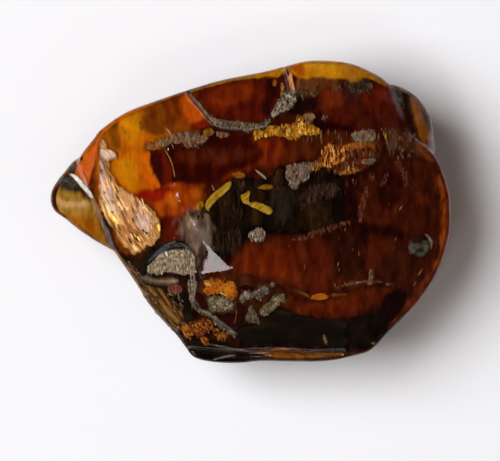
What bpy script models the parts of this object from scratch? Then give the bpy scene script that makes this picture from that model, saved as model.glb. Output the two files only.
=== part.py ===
# Raw amber with bark, wood and grit in it
# One lump of fossil resin lying on a small flat spot, its polished top up.
# X runs right, Y runs back and Z runs up. Lengths below are millimetres.

import math

import bmesh
import bpy
import numpy as np
from mathutils import Vector, noise

MM = 0.001

# Driving dimensions of the lump
TOP_HEIGHT = 25.0
RIM_HEIGHT = 10.8
RIM_LIFT_BACK = 1.3
RIM_LIFT_LEFT = 0.8
PARTING_HEIGHT = 15.5
GAP = 0.3
REST_SINK = 0.5
EDGE_SOFTNESS = 0.3
RELIEF = 0.16
RELIEF_LENGTH = 5.5
UNDER_RELIEF = 0.75
UNDER_RELIEF_LENGTH = 8.0
RIM_WAVE = 1.5
RIM_WAVE_LENGTH = 9.0

# Fullness of the section: 2 is an ellipse, more is boxier
TOP_FULLNESS = (2.6, 2.0)
UNDER_FULLNESS = (2.3, 2.0)

# Plan outlines, points in order round each form
MAIN_CENTRE = (2.0, 0.0)
MAIN_OUTLINE = [
    (-17.6, -5.1), (-18.6, -2.5), (-20.0, 0.6), (-21.4, 4.0), (-22.2, 6.6),
    (-20.2, 9.4), (-19.2, 10.6), (-15.9, 12.8), (-11.7, 14.4), (-8.2, 15.6),
    (-3.9, 16.9), (1.6, 18.0), (4.4, 18.7), (8.0, 19.5), (12.6, 19.2),
    (15.6, 18.1), (17.9, 16.5), (19.2, 13.2), (20.8, 9.8), (23.6, 7.6),
    (25.2, 4.4), (25.9, 1.0), (25.8, -2.8), (25.2, -5.6), (24.2, -8.1),
    (22.9, -10.3), (21.2, -12.5), (17.9, -15.8), (15.8, -17.9), (13.9, -18.6),
    (10.1, -19.4), (5.7, -19.5), (1.6, -19.4), (-2.6, -19.7), (-6.9, -19.1),
    (-8.4, -17.5), (-9.7, -15.8), (-12.5, -12.8), (-14.6, -9.6), (-15.8, -7.8),
]
NOSE_CENTRE = (-18.4, 1.2)
NOSE_OUTLINE = [
    (-16.4, -5.4), (-18.9, -4.5), (-21.8, -2.7), (-24.0, -1.0), (-25.5, 0.1),
    (-26.0, 1.4), (-25.8, 2.8), (-25.0, 4.1), (-23.9, 5.4), (-22.4, 6.9),
    (-19.0, 7.8), (-14.4, 6.0), (-12.6, 1.0), (-13.6, -3.6),
]
LOBE_CENTRE = (19.0, 11.0)
LOBE_OUTLINE = [
    (18.1, 16.4), (19.6, 16.1), (21.4, 15.1), (22.7, 13.5), (23.3, 11.9),
    (23.5, 9.6), (23.0, 7.6), (20.2, 5.6), (15.6, 6.6), (14.0, 11.0),
    (15.4, 15.0),
]

# Heights of the two side forms, and how each height changes along X
NOSE_FORM = {"centre": NOSE_CENTRE, "low": 3.4, "middle": 8.4, "high": 13.4,
             "taper": (-0.3, 0.05, 0.22)}
LOBE_FORM = {"centre": LOBE_CENTRE, "low": 4.6, "middle": 9.4, "high": 14.9,
             "taper": (0.25, 0.0, -0.3)}

# Facets of the polished top: a point on each, its height and its slope in X and Y
TOP_FACETS = [
    ("broad top", (2.0, 0.0), 20.0, (-0.045, 0.035)),
    ("left face", (-9.9, 5.0), 20.7, (0.62, 0.16)),
    ("left shoulder", (-5.5, -4.2), 20.19, (0.226, 0.18)),
    ("small corner facet", (-5.5, -4.2), 20.19, (0.11, 0.211)),
    ("lower left bevel", (-12.8, -11.9), 11.4, (0.95, 0.68)),
    ("front face", (-1.9, -7.4), 19.91, (0.03, 0.62)),
    ("back bevel", (-3.5, 16.4), 15.8, (0.12, -0.7)),
    ("right slope", (25.9, 0.0), 14.6, (-0.5, -0.08)),
    ("back right corner", (19.0, 14.0), 14.2, (-0.75, -0.8)),
]
# Facets of the underside, given in the same way
UNDER_FACETS = [
    ("right back underside", (9.0, 5.0), 0.0, (0.36, 0.3)),
    ("front underside", (2.0, -7.5), 0.0, (0.05, -0.5)),
    ("left underside", (-8.0, 2.0), 0.0, (-0.42, 0.1)),
    ("lower left underside", (-9.0, -9.0), 2.6, (-0.75, -0.6)),
    ("right underside", (19.0, -3.0), 3.6, (0.95, -0.1)),
    ("back underside", (-3.0, 11.0), 2.2, (-0.12, 0.85)),
]

# The wood sealed in the middle
WOOD_OUTLINE = [
    (-6.6, -2.2), (-5.4, 0.2), (-3.6, 2.0), (-1.2, 2.9), (1.8, 3.6),
    (5.0, 3.2), (8.2, 4.4), (11.6, 4.3), (13.4, 2.4), (13.2, -0.2),
    (10.4, -2.0), (6.0, -2.9), (2.2, -3.6), (-0.6, -5.6), (-3.0, -6.0),
    (-5.4, -4.6),
]
WOOD_SKIN = 1.2
WOOD_MIDDLE = 15.6
WOOD_UNDERSIDE = 12.6

# Pieces that show at the polished face: outline, depth, stand and colour
SURFACE_PIECES = {
    "bark_left": {
        "outline": [(-17.9, 10.6), (-16.6, 8.6), (-15.7, 5.6), (-14.0, 2.6),
                    (-12.4, 0.2), (-11.2, -2.2), (-12.0, -4.0), (-14.0, -4.6),
                    (-15.8, -3.8), (-17.1, -1.6), (-18.3, 1.8), (-19.3, 5.4),
                    (-19.2, 8.4)],
        "depth": 1.5, "stand": 0.12, "colour": (0.42, 0.22, 0.1), "roughness": 0.45},
    "grit_hollow": {
        "outline": [(-13.2, -7.6), (-12.2, -6.0), (-10.2, -4.9), (-8.0, -4.6),
                    (-6.9, -5.8), (-6.8, -8.2), (-8.6, -8.0), (-11.0, -8.3)],
        "depth": 1.5, "stand": -0.35, "colour": (0.2, 0.19, 0.13), "roughness": 0.7},
    "grit_patch_top": {
        "outline": [(2.9, 12.2), (3.4, 13.6), (4.8, 14.8), (6.0, 15.1),
                    (6.5, 14.0), (5.0, 12.7)],
        "depth": 1.1, "stand": 0.1, "colour": (0.25, 0.24, 0.22), "roughness": 0.7},
    "gold_debris_top": {
        "outline": [(0.4, 9.8), (3.0, 10.4), (5.6, 11.2), (7.6, 12.0),
                    (8.9, 11.6), (8.9, 10.0), (6.0, 9.2), (3.0, 9.3)],
        "depth": 1.1, "stand": 0.1, "colour": (0.5, 0.27, 0.06), "roughness": 0.5},
    "tan_debris_left": {
        "outline": [(-10.8, 8.7), (-9.0, 9.9), (-6.0, 10.3), (-4.4, 10.5),
                    (-4.2, 9.6), (-6.6, 8.7), (-9.4, 8.1)],
        "depth": 0.9, "stand": 0.08, "colour": (0.36, 0.22, 0.13), "roughness": 0.6},
    "debris_right": {
        "outline": [(4.8, 3.9), (5.6, 5.6), (8.6, 6.4), (10.4, 7.8),
                    (16.2, 8.0), (16.4, 5.6), (12.6, 4.8), (9.0, 4.9)],
        "depth": 1.1, "stand": 0.08, "colour": (0.33, 0.16, 0.08), "roughness": 0.6},
    "gold_sliver_left": {
        "outline": [(-5.8, -0.1), (-5.3, 1.1), (-3.7, 3.2), (-2.4, 3.8),
                    (-2.9, 2.5), (-4.7, 0.4)],
        "depth": 0.8, "stand": 0.1, "colour": (0.62, 0.4, 0.06), "roughness": 0.5},
    "gold_sliver_right": {
        "outline": [(-1.3, 2.4), (-1.0, 0.9), (2.2, -0.5), (2.9, 0.1),
                    (0.4, 1.3), (-0.2, 2.6)],
        "depth": 0.8, "stand": 0.1, "colour": (0.62, 0.4, 0.06), "roughness": 0.5},
    "grit_block": {
        "outline": [(-5.4, -11.2), (-3.0, -10.9), (-2.1, -11.9), (-2.6, -13.0),
                    (-4.9, -12.8)],
        "depth": 0.9, "stand": 0.15, "colour": (0.28, 0.24, 0.17), "roughness": 0.7},
    "grit_flake_upper": {
        "outline": [(-1.2, -11.6), (0.2, -10.1), (2.2, -9.3), (3.4, -9.4),
                    (2.7, -10.6), (0.6, -11.6)],
        "depth": 0.9, "stand": 0.15, "colour": (0.27, 0.23, 0.2), "roughness": 0.7},
    "grit_flake_lower": {
        "outline": [(1.2, -13.1), (2.3, -11.6), (4.5, -10.8), (4.8, -11.7),
                    (3.4, -13.2), (2.0, -13.8)],
        "depth": 0.9, "stand": 0.15, "colour": (0.27, 0.23, 0.2), "roughness": 0.7},
    "dark_layer_front": {
        "outline": [(-2.2, -16.3), (0.6, -14.8), (4.2, -13.6), (7.6, -13.7),
                    (11.0, -14.0), (14.6, -13.9), (17.4, -13.9), (17.9, -14.8),
                    (15.2, -16.4), (10.6, -17.3), (4.4, -17.4), (0.2, -17.3)],
        "depth": 1.2, "stand": 0.0, "colour": (0.02, 0.015, 0.012), "roughness": 0.2},
}

# Grit that fills the two open cracks, as routes along the surface
CRACK_SEAMS = {
    "grit_seam_top": {
        "route": [(-5.0, 12.0), (-3.6, 11.1), (-1.6, 10.9), (0.6, 10.9), (1.9, 11.3)],
        "radius": 0.42, "colour": (0.25, 0.24, 0.21)},
    "grit_seam_front": {
        "route": [(-7.3, -9.4), (-7.5, -11.4), (-6.6, -13.4), (-4.6, -14.9),
                  (-2.6, -16.9)],
        "radius": 0.4, "colour": (0.26, 0.24, 0.18)},
}

# Open cracks and creases, each with the radius of the groove that it leaves
OPEN_CRACKS = [
    ("crack_back_left", [(-8.6, 17.2), (-7.8, 15.1), (-6.5, 13.5), (-4.8, 12.2)], 0.42),
    ("crack_back_middle", [(6.0, 15.0), (5.5, 16.6), (5.0, 18.2), (4.5, 19.8)], 0.4),
    ("ledge_front", [(-7.6, -18.0), (-3.0, -18.5), (3.0, -18.1), (9.0, -18.4),
                     (14.6, -17.7)], 0.5),
]

# The round pit at the right
PIT_CENTRE = (22.0, -4.4)
PIT_RADIUS = 1.85
PIT_DEPTH = 1.2

# How finely each form is divided, and how far its rings crowd to the rim
RING_CROWDING = 0.62
MAIN_DIVISIONS = (56, 26)
LOBE_DIVISIONS = (22, 12)
WOOD_DIVISIONS = (24, 8)
PIECE_DIVISIONS = (16, 6)
LONG_DIVISIONS = (24, 6)
LONG_PIECES = ("bark_left", "dark_layer_front")
OUTLINE_SAMPLES = 1440

AMBER_COLOUR = (0.35, 0.08, 0.015)
WOOD_COLOUR = (0.015, 0.012, 0.012)


def closed_curve(points, count):
    """Points evenly placed on a smooth closed curve through the given ones."""
    ring = np.array(points, dtype=float)
    total = len(ring)
    result = []
    for step in range(count):
        place = step * total / count
        index = int(place)
        t = place - index
        before = ring[(index - 1) % total]
        start = ring[index % total]
        end = ring[(index + 1) % total]
        after = ring[(index + 2) % total]
        pull_out = 0.5 * (end - before)
        pull_in = 0.5 * (after - start)
        result.append((2 * t ** 3 - 3 * t ** 2 + 1) * start
                      + (t ** 3 - 2 * t ** 2 + t) * pull_out
                      + (3 * t ** 2 - 2 * t ** 3) * end
                      + (t ** 3 - t ** 2) * pull_in)
    return np.array(result)


class Outline:
    """A plan outline read as a radius about a centre."""

    def __init__(self, points, centre):
        self.centre = centre
        curve = closed_curve(points, OUTLINE_SAMPLES) - np.array(centre)
        angles = np.arctan2(curve[:, 1], curve[:, 0])
        order = np.argsort(angles)
        self.angles = angles[order]
        self.radii = np.hypot(curve[:, 0], curve[:, 1])[order]

    def radius(self, angle):
        return float(np.interp(angle, self.angles, self.radii, period=math.tau))

    def place(self, angle, share):
        reach = self.radius(angle) * share
        return (self.centre[0] + reach * math.cos(angle),
                self.centre[1] + reach * math.sin(angle))

    def share(self, x, y):
        """How far out a point lies: 0 at the centre, 1 on the outline."""
        dx = x - self.centre[0]
        dy = y - self.centre[1]
        return math.hypot(dx, dy) / self.radius(math.atan2(dy, dx))


def swell(share, fullness):
    """Height of a rounded section at a share of its width."""
    wide, tall = fullness
    return max(0.0, 1.0 - min(share, 1.0) ** wide) ** (1.0 / tall)


def blend_low(values, softness):
    """The lowest of some heights, with the edges between them rounded."""
    low = min(values)
    return low - softness * math.log(sum(math.exp((low - v) / softness) for v in values))


def facet_height(facet, x, y):
    point, height, slope = facet[1:]
    return height + slope[0] * (x - point[0]) + slope[1] * (y - point[1])


def relief(x, y, z):
    return RELIEF * noise.noise(Vector((x, y, z)) / RELIEF_LENGTH)


MAIN = Outline(MAIN_OUTLINE, MAIN_CENTRE)
NOSE = Outline(NOSE_OUTLINE, NOSE_CENTRE)
LOBE = Outline(LOBE_OUTLINE, LOBE_CENTRE)


def main_rim(angle):
    x, y = MAIN.place(angle, 1.0)
    wave = RIM_WAVE * noise.noise(Vector((x, y, 4.0)) / RIM_WAVE_LENGTH)
    return (RIM_HEIGHT + RIM_LIFT_BACK * math.sin(angle)
            - RIM_LIFT_LEFT * math.cos(angle) + wave)


def main_angle(x, y):
    return math.atan2(y - MAIN_CENTRE[1], x - MAIN_CENTRE[0])


def main_top(x, y, share):
    """Height of the polished top at a place in plan."""
    rim = main_rim(main_angle(x, y))
    dome = rim + (TOP_HEIGHT - rim) * swell(share, TOP_FULLNESS)
    heights = [dome] + [facet_height(facet, x, y) for facet in TOP_FACETS]
    height = blend_low(heights, EDGE_SOFTNESS) + relief(x, y, 0.0)
    return max(height, rim)


def main_under(x, y, share):
    """Height of the underside, level where the lump rests."""
    rim = main_rim(main_angle(x, y))
    bowl = rim - (rim + REST_SINK) * swell(share, UNDER_FULLNESS)
    heights = [bowl] + [facet_height(facet, x, y) for facet in UNDER_FACETS]
    lumps = UNDER_RELIEF * noise.noise(Vector((x, y, 9.0)) / UNDER_RELIEF_LENGTH)
    height = -blend_low([-h for h in heights], EDGE_SOFTNESS) - EDGE_SOFTNESS
    return min(max(height + lumps * share, 0.0), rim)


def surface(x, y):
    return main_top(x, y, MAIN.share(x, y))


def section_lump(form):
    """Top and underside of a small rounded lump, as two functions."""
    def levels(x, y):
        reach = x - form["centre"][0]
        return [form[key] + form["taper"][k] * reach
                for k, key in enumerate(("low", "middle", "high"))]

    def top(x, y, share):
        middle, high = levels(x, y)[1:]
        return middle + (high - middle) * swell(share, (2.6, 1.8)) + relief(x, y, 3.0)

    def under(x, y, share):
        low, middle = levels(x, y)[:2]
        return middle - (middle - low) * swell(share, (2.0, 1.6)) + relief(x, y, 3.0)

    return top, under


def sculpt(name, outline, top, under, divisions):
    """A sphere whose points are moved to an outline, a top and an underside."""
    segments, rings = divisions
    shape = bmesh.new()
    bmesh.ops.create_uvsphere(shape, u_segments=segments, v_segments=rings, radius=1.0)
    for vert in shape.verts:
        angle = math.atan2(vert.co.y, vert.co.x)
        level = max(-1.0, min(1.0, vert.co.z))
        share = math.sqrt(max(0.0, 1.0 - level * level)) ** RING_CROWDING
        x, y = outline.place(angle, share)
        height = top(x, y, share) if level >= -1e-6 else under(x, y, share)
        vert.co = Vector((x, y, height)) * MM
    bmesh.ops.triangulate(shape, faces=shape.faces)
    mesh = bpy.data.meshes.new(name)
    shape.to_mesh(mesh)
    shape.free()
    mesh.shade_smooth()
    return bpy.data.objects.new(name, mesh)


def grown(points, amount):
    """An outline moved outwards by an amount, square to its own run."""
    ring = np.array(points, dtype=float)
    along = np.roll(ring, -1, axis=0) - np.roll(ring, 1, axis=0)
    turned = np.stack([along[:, 1], -along[:, 0]], axis=1)
    outward = turned / np.hypot(turned[:, 0], turned[:, 1])[:, None]
    x, y = ring[:, 0], ring[:, 1]
    area = np.sum(x * np.roll(y, -1) - np.roll(x, -1) * y)
    return ring + outward * math.copysign(amount, area)


def middle(points):
    return tuple(np.array(points, dtype=float).mean(axis=0))


def route_tube(name, route, radius, sink):
    """A tube along the surface, as a mesh with its caps welded."""
    data = bpy.data.curves.new(name, "CURVE")
    data.dimensions = "3D"
    data.bevel_depth = radius * MM
    data.bevel_resolution = 2
    data.use_fill_caps = True
    spline = data.splines.new("POLY")
    places = smooth_route(route)
    spline.points.add(len(places) - 1)
    for point, (x, y) in zip(spline.points, places):
        height = surface(x, y) - sink
        point.co = (x * MM, y * MM, height * MM, 1.0)
    curve = bpy.data.objects.new(name + "_route", data)
    cutters.objects.link(curve)
    depsgraph = bpy.context.evaluated_depsgraph_get()
    mesh = bpy.data.meshes.new_from_object(curve.evaluated_get(depsgraph))
    shape = bmesh.new()
    shape.from_mesh(mesh)
    bmesh.ops.remove_doubles(shape, verts=shape.verts, dist=1e-6)
    bmesh.ops.recalc_face_normals(shape, faces=shape.faces)
    bmesh.ops.triangulate(shape, faces=shape.faces)
    shape.to_mesh(mesh)
    shape.free()
    mesh.name = name
    tube = bpy.data.objects.new(name, mesh)
    tube.matrix_world = curve.matrix_world.copy()
    bpy.data.objects.remove(curve)
    return tube


def smooth_route(route):
    """The route with one more point between each two, on a smooth curve."""
    ends = [route[0]] + list(route) + [route[-1]]
    places = []
    for index in range(1, len(ends) - 2):
        before, start, end, after = (np.array(ends[index + k]) for k in (-1, 0, 1, 2))
        places.append(tuple(start))
        places.append(tuple((9 * (start + end) - before - after) / 16))
    places.append(tuple(route[-1]))
    return places


def as_cutter(thing):
    thing.hide_render = True
    thing.hide_set(False)
    thing.display_type = "WIRE"
    return thing


def link_cutter(thing):
    cutters.objects.link(thing)
    return as_cutter(thing)


def cut(target, cutter, operation="DIFFERENCE"):
    step = target.modifiers.new(cutter.name, "BOOLEAN")
    step.operation = operation
    step.solver = "EXACT"
    step.object = cutter


def material(name, colour, roughness, transmission=0.0):
    finish = bpy.data.materials.new(name)
    finish.use_nodes = True
    shader = finish.node_tree.nodes["Principled BSDF"]
    shader.inputs["Base Color"].default_value = (*colour, 1.0)
    shader.inputs["Roughness"].default_value = roughness
    shader.inputs["Transmission Weight"].default_value = transmission
    return finish


def surface_piece(name, spec):
    """A thin rough piece let into the face, and the recess that takes it."""
    depth = spec["depth"]
    stand = spec["stand"]

    def top(x, y, share):
        lumps = 0.16 * noise.noise(Vector((x, y, depth)) * 1.1)
        return surface(x, y) + (stand + lumps) * swell(share, (4.0, 2.0))

    def under(x, y, share):
        return surface(x, y) - depth * swell(share, (4.0, 2.0))

    centre = middle(spec["outline"])
    divisions = LONG_DIVISIONS if name in LONG_PIECES else PIECE_DIVISIONS
    piece = sculpt(name, Outline(spec["outline"], centre), top, under, divisions)
    piece.data.materials.append(material(name, spec["colour"], spec["roughness"]))
    parts.objects.link(piece)

    lift = 0.6

    def recess_top(x, y, share):
        return surface(x, y) + lift + 1.5 * swell(share, (4.0, 2.0))

    def recess_under(x, y, share):
        return surface(x, y) + lift - (lift + depth + 1.2 * GAP) * swell(share, (4.0, 2.0))

    wide = Outline(grown(spec["outline"], 2.2 * GAP), centre)
    return link_cutter(sculpt(name + "_recess", wide, recess_top, recess_under, divisions))


def seam_piece(name, spec):
    """Grit along a crack, and the groove that it lies in."""
    seam = route_tube(name, spec["route"], spec["radius"], spec["radius"] * 0.55)
    seam.data.materials.append(material(name, spec["colour"], 0.7))
    parts.objects.link(seam)
    first, last = (np.array(spec["route"][k]) for k in (0, -1))
    ahead = first - np.array(spec["route"][1])
    beyond = last - np.array(spec["route"][-2])
    longer = ([tuple(first + ahead / np.hypot(*ahead) * 2 * GAP)] + spec["route"][1:-1]
              + [tuple(last + beyond / np.hypot(*beyond) * 2 * GAP)])
    return link_cutter(route_tube(name + "_groove", longer,
                                  spec["radius"] + 1.25 * GAP, spec["radius"] * 0.45))


def pit_cutter():
    """A short cylinder with its foot in the right slope."""
    shape = bmesh.new()
    bmesh.ops.create_cone(shape, cap_ends=True, segments=20, radius1=PIT_RADIUS * 0.86 * MM,
                          radius2=PIT_RADIUS * 1.1 * MM, depth=6.0 * MM)
    mesh = bpy.data.meshes.new("pit")
    shape.to_mesh(mesh)
    shape.free()
    pit = bpy.data.objects.new("pit", mesh)
    x, y = PIT_CENTRE
    step = 1.5
    lean = Vector((surface(x - step, y) - surface(x + step, y),
                   surface(x, y - step) - surface(x, y + step), 2 * step)).normalized()
    foot = Vector((x, y, surface(x, y)))
    pit.location = (foot + lean * (3.0 - PIT_DEPTH)) * MM
    pit.rotation_mode = "QUATERNION"
    pit.rotation_quaternion = lean.to_track_quat("Z", "Y")
    return link_cutter(pit)


def half_block(name, low, high):
    """A block that takes in all of the lump between two heights."""
    shape = bmesh.new()
    bmesh.ops.create_cube(shape, size=1.0)
    bmesh.ops.scale(shape, vec=(80 * MM, 70 * MM, (high - low) * MM), verts=shape.verts)
    bmesh.ops.translate(shape, vec=(0.0, 0.0, (low + high) / 2 * MM), verts=shape.verts)
    mesh = bpy.data.meshes.new(name)
    shape.to_mesh(mesh)
    shape.free()
    return link_cutter(bpy.data.objects.new(name, mesh))


def whole_lump(tools):
    """The joined and grooved lump, before it is parted."""
    lump = sculpt("lump", MAIN, main_top, main_under, MAIN_DIVISIONS)
    link_cutter(lump)
    nose = sculpt("nose", NOSE, *section_lump(NOSE_FORM), LOBE_DIVISIONS)
    lobe = sculpt("lobe", LOBE, *section_lump(LOBE_FORM), LOBE_DIVISIONS)
    for form in (nose, lobe):
        cut(lump, link_cutter(form), "UNION")
    for tool in tools:
        cut(lump, tool)
    depsgraph = bpy.context.evaluated_depsgraph_get()
    mesh = bpy.data.meshes.new_from_object(lump.evaluated_get(depsgraph))
    bpy.data.objects.remove(lump)
    return mesh


def wood_forms():
    """The sealed wood and the pocket round it."""
    def heights(extra):
        def top(x, y, share):
            high = surface(x, y) - WOOD_SKIN + extra
            return WOOD_MIDDLE + (high - WOOD_MIDDLE) * swell(share, (3.0, 2.0))

        def under(x, y, share):
            ripple = 0.5 * noise.noise(Vector((x * 0.25, y * 0.9, 2.0)))
            low = WOOD_UNDERSIDE + ripple - extra
            return WOOD_MIDDLE - (WOOD_MIDDLE - low) * swell(share, (3.0, 2.0))

        return top, under

    centre = middle(WOOD_OUTLINE)
    wood = sculpt("black_wood", Outline(WOOD_OUTLINE, centre), *heights(0.0), WOOD_DIVISIONS)
    wood.data.materials.append(material("black_wood", WOOD_COLOUR, 0.4))
    parts.objects.link(wood)
    wide = Outline(grown(WOOD_OUTLINE, 1.5 * GAP), centre)
    return link_cutter(sculpt("wood_pocket", wide, *heights(1.3 * GAP), WOOD_DIVISIONS))


def amber_half(name, mesh, block, pocket, finish):
    half = bpy.data.objects.new(name, mesh.copy())
    half.data.name = name
    half.data.materials.clear()
    half.data.materials.append(finish)
    parts.objects.link(half)
    cut(half, block, "INTERSECT")
    cut(half, pocket)
    return half


for old in list(bpy.data.objects):
    bpy.data.objects.remove(old, do_unlink=True)
parts = bpy.data.collections.new("raw_amber")
cutters = bpy.data.collections.new("cutters")
bpy.context.scene.collection.children.link(parts)
bpy.context.scene.collection.children.link(cutters)

hollows = [surface_piece(name, spec) for name, spec in SURFACE_PIECES.items()]
hollows += [seam_piece(name, spec) for name, spec in CRACK_SEAMS.items()]
hollows += [link_cutter(route_tube(name, route, radius, 0.15))
            for name, route, radius in OPEN_CRACKS]
hollows.append(pit_cutter())

pocket_form = wood_forms()
lump_mesh = whole_lump(hollows)
amber_finish = material("amber", AMBER_COLOUR, 0.06, transmission=1.0)
lower_block = half_block("lower_block", -5.0, PARTING_HEIGHT - GAP / 2)
upper_block = half_block("upper_block", PARTING_HEIGHT + GAP / 2, 40.0)
amber_half("amber_lower", lump_mesh, lower_block, pocket_form, amber_finish)
amber_half("amber_upper", lump_mesh, upper_block, pocket_form, amber_finish)
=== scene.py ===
import math
import random
import re
from collections import Counter

import bmesh
import bpy
import numpy as np
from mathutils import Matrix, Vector, kdtree, noise
from mathutils.bvhtree import BVHTree
from mathutils.geometry import delaunay_2d_cdt


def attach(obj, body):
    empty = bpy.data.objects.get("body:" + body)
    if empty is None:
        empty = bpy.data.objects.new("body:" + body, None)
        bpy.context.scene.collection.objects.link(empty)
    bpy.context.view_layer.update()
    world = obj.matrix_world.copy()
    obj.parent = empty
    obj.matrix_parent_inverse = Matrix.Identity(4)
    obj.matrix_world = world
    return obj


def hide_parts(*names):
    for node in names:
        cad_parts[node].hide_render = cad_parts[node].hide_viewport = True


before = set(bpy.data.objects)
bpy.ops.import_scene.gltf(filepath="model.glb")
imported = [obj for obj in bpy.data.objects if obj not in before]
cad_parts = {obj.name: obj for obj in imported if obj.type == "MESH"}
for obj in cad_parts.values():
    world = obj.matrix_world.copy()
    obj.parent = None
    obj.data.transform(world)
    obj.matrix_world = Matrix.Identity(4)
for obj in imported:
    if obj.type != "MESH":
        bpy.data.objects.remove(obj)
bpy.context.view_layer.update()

# Looks of a polished lump of raw amber with bark, wood and grit in it.
# Lengths are millimetres until mm turns them to metres. Outlines and routes are drawn
# from above, as x,y pairs with a blank between them.

mm = 0.001


def drawn(text):
    # the places of a drawn outline or route, or the numbers of each oval
    return [tuple(float(value) for value in place.split(",")) for place in text.split()]


def ease(share):
    return share * share * (3 - 2 * share)


def bend(before, start, end, after, t):
    # a smooth curve from start to end that follows on from its neighbours
    pullOut, pullIn = 0.5 * (end - before), 0.5 * (after - start)
    return ((2 * t ** 3 - 3 * t ** 2 + 1) * start + (t ** 3 - 2 * t ** 2 + t) * pullOut
            + (3 * t ** 2 - 2 * t ** 3) * end + (t ** 3 - t ** 2) * pullIn)


def closedCurve(text, count):
    # a smooth ring through the drawn places, as this many points
    ring = np.array(drawn(text))
    total = len(ring)
    place = np.arange(count) * total / count
    index = place.astype(int)
    return bend(*(ring[(index + k) % total] for k in (-1, 0, 1, 2)), (place - index)[:, None])


def openCurve(text, spacing=0.2):
    # a smooth line through the drawn places
    route = drawn(text)
    ends = np.array([route[0], *route, route[-1]])
    places = []
    for k in range(1, len(ends) - 2):
        steps = max(2, int(np.hypot(*(ends[k + 1] - ends[k])) / spacing))
        places += [bend(*ends[k - 1:k + 3], t) for t in np.arange(steps) / steps]
    return np.array(places + [ends[-1]])


class Outline:
    # a plan outline read as a radius about a centre
    def __init__(self, text, centre):
        self.centre = centre
        curve = closedCurve(text, 1440) - np.array(centre)
        angles = np.arctan2(curve[:, 1], curve[:, 0])
        order = np.argsort(angles)
        radii = np.hypot(curve[:, 0], curve[:, 1])[order]
        even = np.linspace(-math.pi, math.pi, 2881)
        self.radii = [float(r) for r in np.interp(even, angles[order], radii, period=math.tau)]

    def radius(self, angle):
        place = (angle / math.tau + 0.5) % 1.0 * 2880
        index = int(place)
        return self.radii[index] + (self.radii[index + 1] - self.radii[index]) * (place - index)

    def place(self, angle, share):
        reach = self.radius(angle) * share
        return (self.centre[0] + reach * math.cos(angle),
                self.centre[1] + reach * math.sin(angle))

    def share(self, x, y):
        dx, dy = x - self.centre[0], y - self.centre[1]
        return math.hypot(dx, dy) / self.radius(math.atan2(dy, dx))


# The lump: the same forms as the solids, finely divided
lump = {
    "topHeight": 25.0, "rimHeight": 10.8, "rimLiftBack": 1.3, "rimLiftLeft": 0.8,
    "restSink": 0.5, "edgeSoftness": 0.04, "underSoftness": 0.3, "sideSoftness": 0.1,
    "edgeDrop": 1.0,           # how far the widest line lies under the cut faces, at most
    "relief": (0.16, 5.5), "underRelief": (0.75, 8.0), "rimWave": (1.5, 9.0),  # height, length
    "topFullness": (6.0, 2.0), "underFullness": (2.3, 2.0), "sideUnderFullness": (2.0, 1.6),
    "sideRise": 1.5,           # how far a side form's dome stands over its cut face
    "voxel": 0.25,             # grid of the joined lump
    "smoothing": 3,            # passes that take the grid's steps away
    "snap": 0.4,               # how far a point may go back to the cut face
    "snapShare": 0.965,        # and not so near the rim
    "levelNormal": 0.55,       # faces this level belong to the top
    "ridgeReach": 0.17,        # points this near a ridge go onto it, so it stays crisp
    "leastRidge": 0.02,        # a flatter fold than this is no ridge
    "cornerGap": 0.04,         # nor is the place where three faces meet
    "cutsAbove": 6.0,          # cracks, pit and hollow are in the upper side only
    "handPolish": (0.012, 1.9),     # how far polishing left the face wavy
    "restFlat": 0.4,           # below this the rest spot stays flat
    "divisions": ((280, 140), (110, 60), (110, 60)),     # round and up: lump, nose and lobe
}
mainCentre = (2.0, 0.0)
mainForm = Outline(
    "-17.6,-5.1 -18.6,-2.5 -20,0.6 -21.4,4 -22.2,6.6 -20.2,9.4 -19.2,10.6 -15.9,12.8 -11.7,14.4 "
    "-8.2,15.6 -3.9,16.9 1.6,18 4.4,18.7 8,19.5 12.6,19.2 15.6,18.1 17.9,16.5 19.2,13.2 20.8,9.8 "
    "23.6,7.6 25.2,4.4 25.9,1 25.8,-2.8 25.2,-5.6 24.2,-8.1 22.9,-10.3 21.2,-12.5 17.9,-15.8 "
    "15.8,-17.9 13.9,-18.6 10.1,-19.4 5.7,-19.5 1.6,-19.4 -2.6,-19.7 -6.9,-19.1 -8.4,-17.5 -9.7,-15.8 "
    "-12.5,-12.8 -14.6,-9.6 -15.8,-7.8", mainCentre)
nose = {"centre": (-18.4, 1.2), "low": 3.4, "middle": 8.4, "high": 13.4,
        "taper": (-0.3, 0.05, 0.22), "cut": ((-22.0, 2.0), 12.0, (0.62, 0.2)),
        "outline": "-16.4,-5.4 -18.9,-4.5 -21.8,-2.7 -24,-1 -25.5,0.1 -26,1.4 -25.8,2.8 -25,4.1 "
                   "-23.9,5.4 -22.4,6.9 -19,7.8 -14.4,6 -12.6,1 -13.6,-3.6"}
lobe = {"centre": (19.0, 11.0), "low": 4.6, "middle": 9.4, "high": 14.9,
        "taper": (0.25, 0.0, -0.3), "cut": ((19.0, 14.0), 14.55, (-0.6, -0.62)),
        "outline": "18.1,16.4 19.6,16.1 21.4,15.1 22.7,13.5 23.5,11.9 23.8,9.6 23.8,7.2 20.2,5.6 "
                   "15.6,6.6 14,11 15.4,15"}
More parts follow.
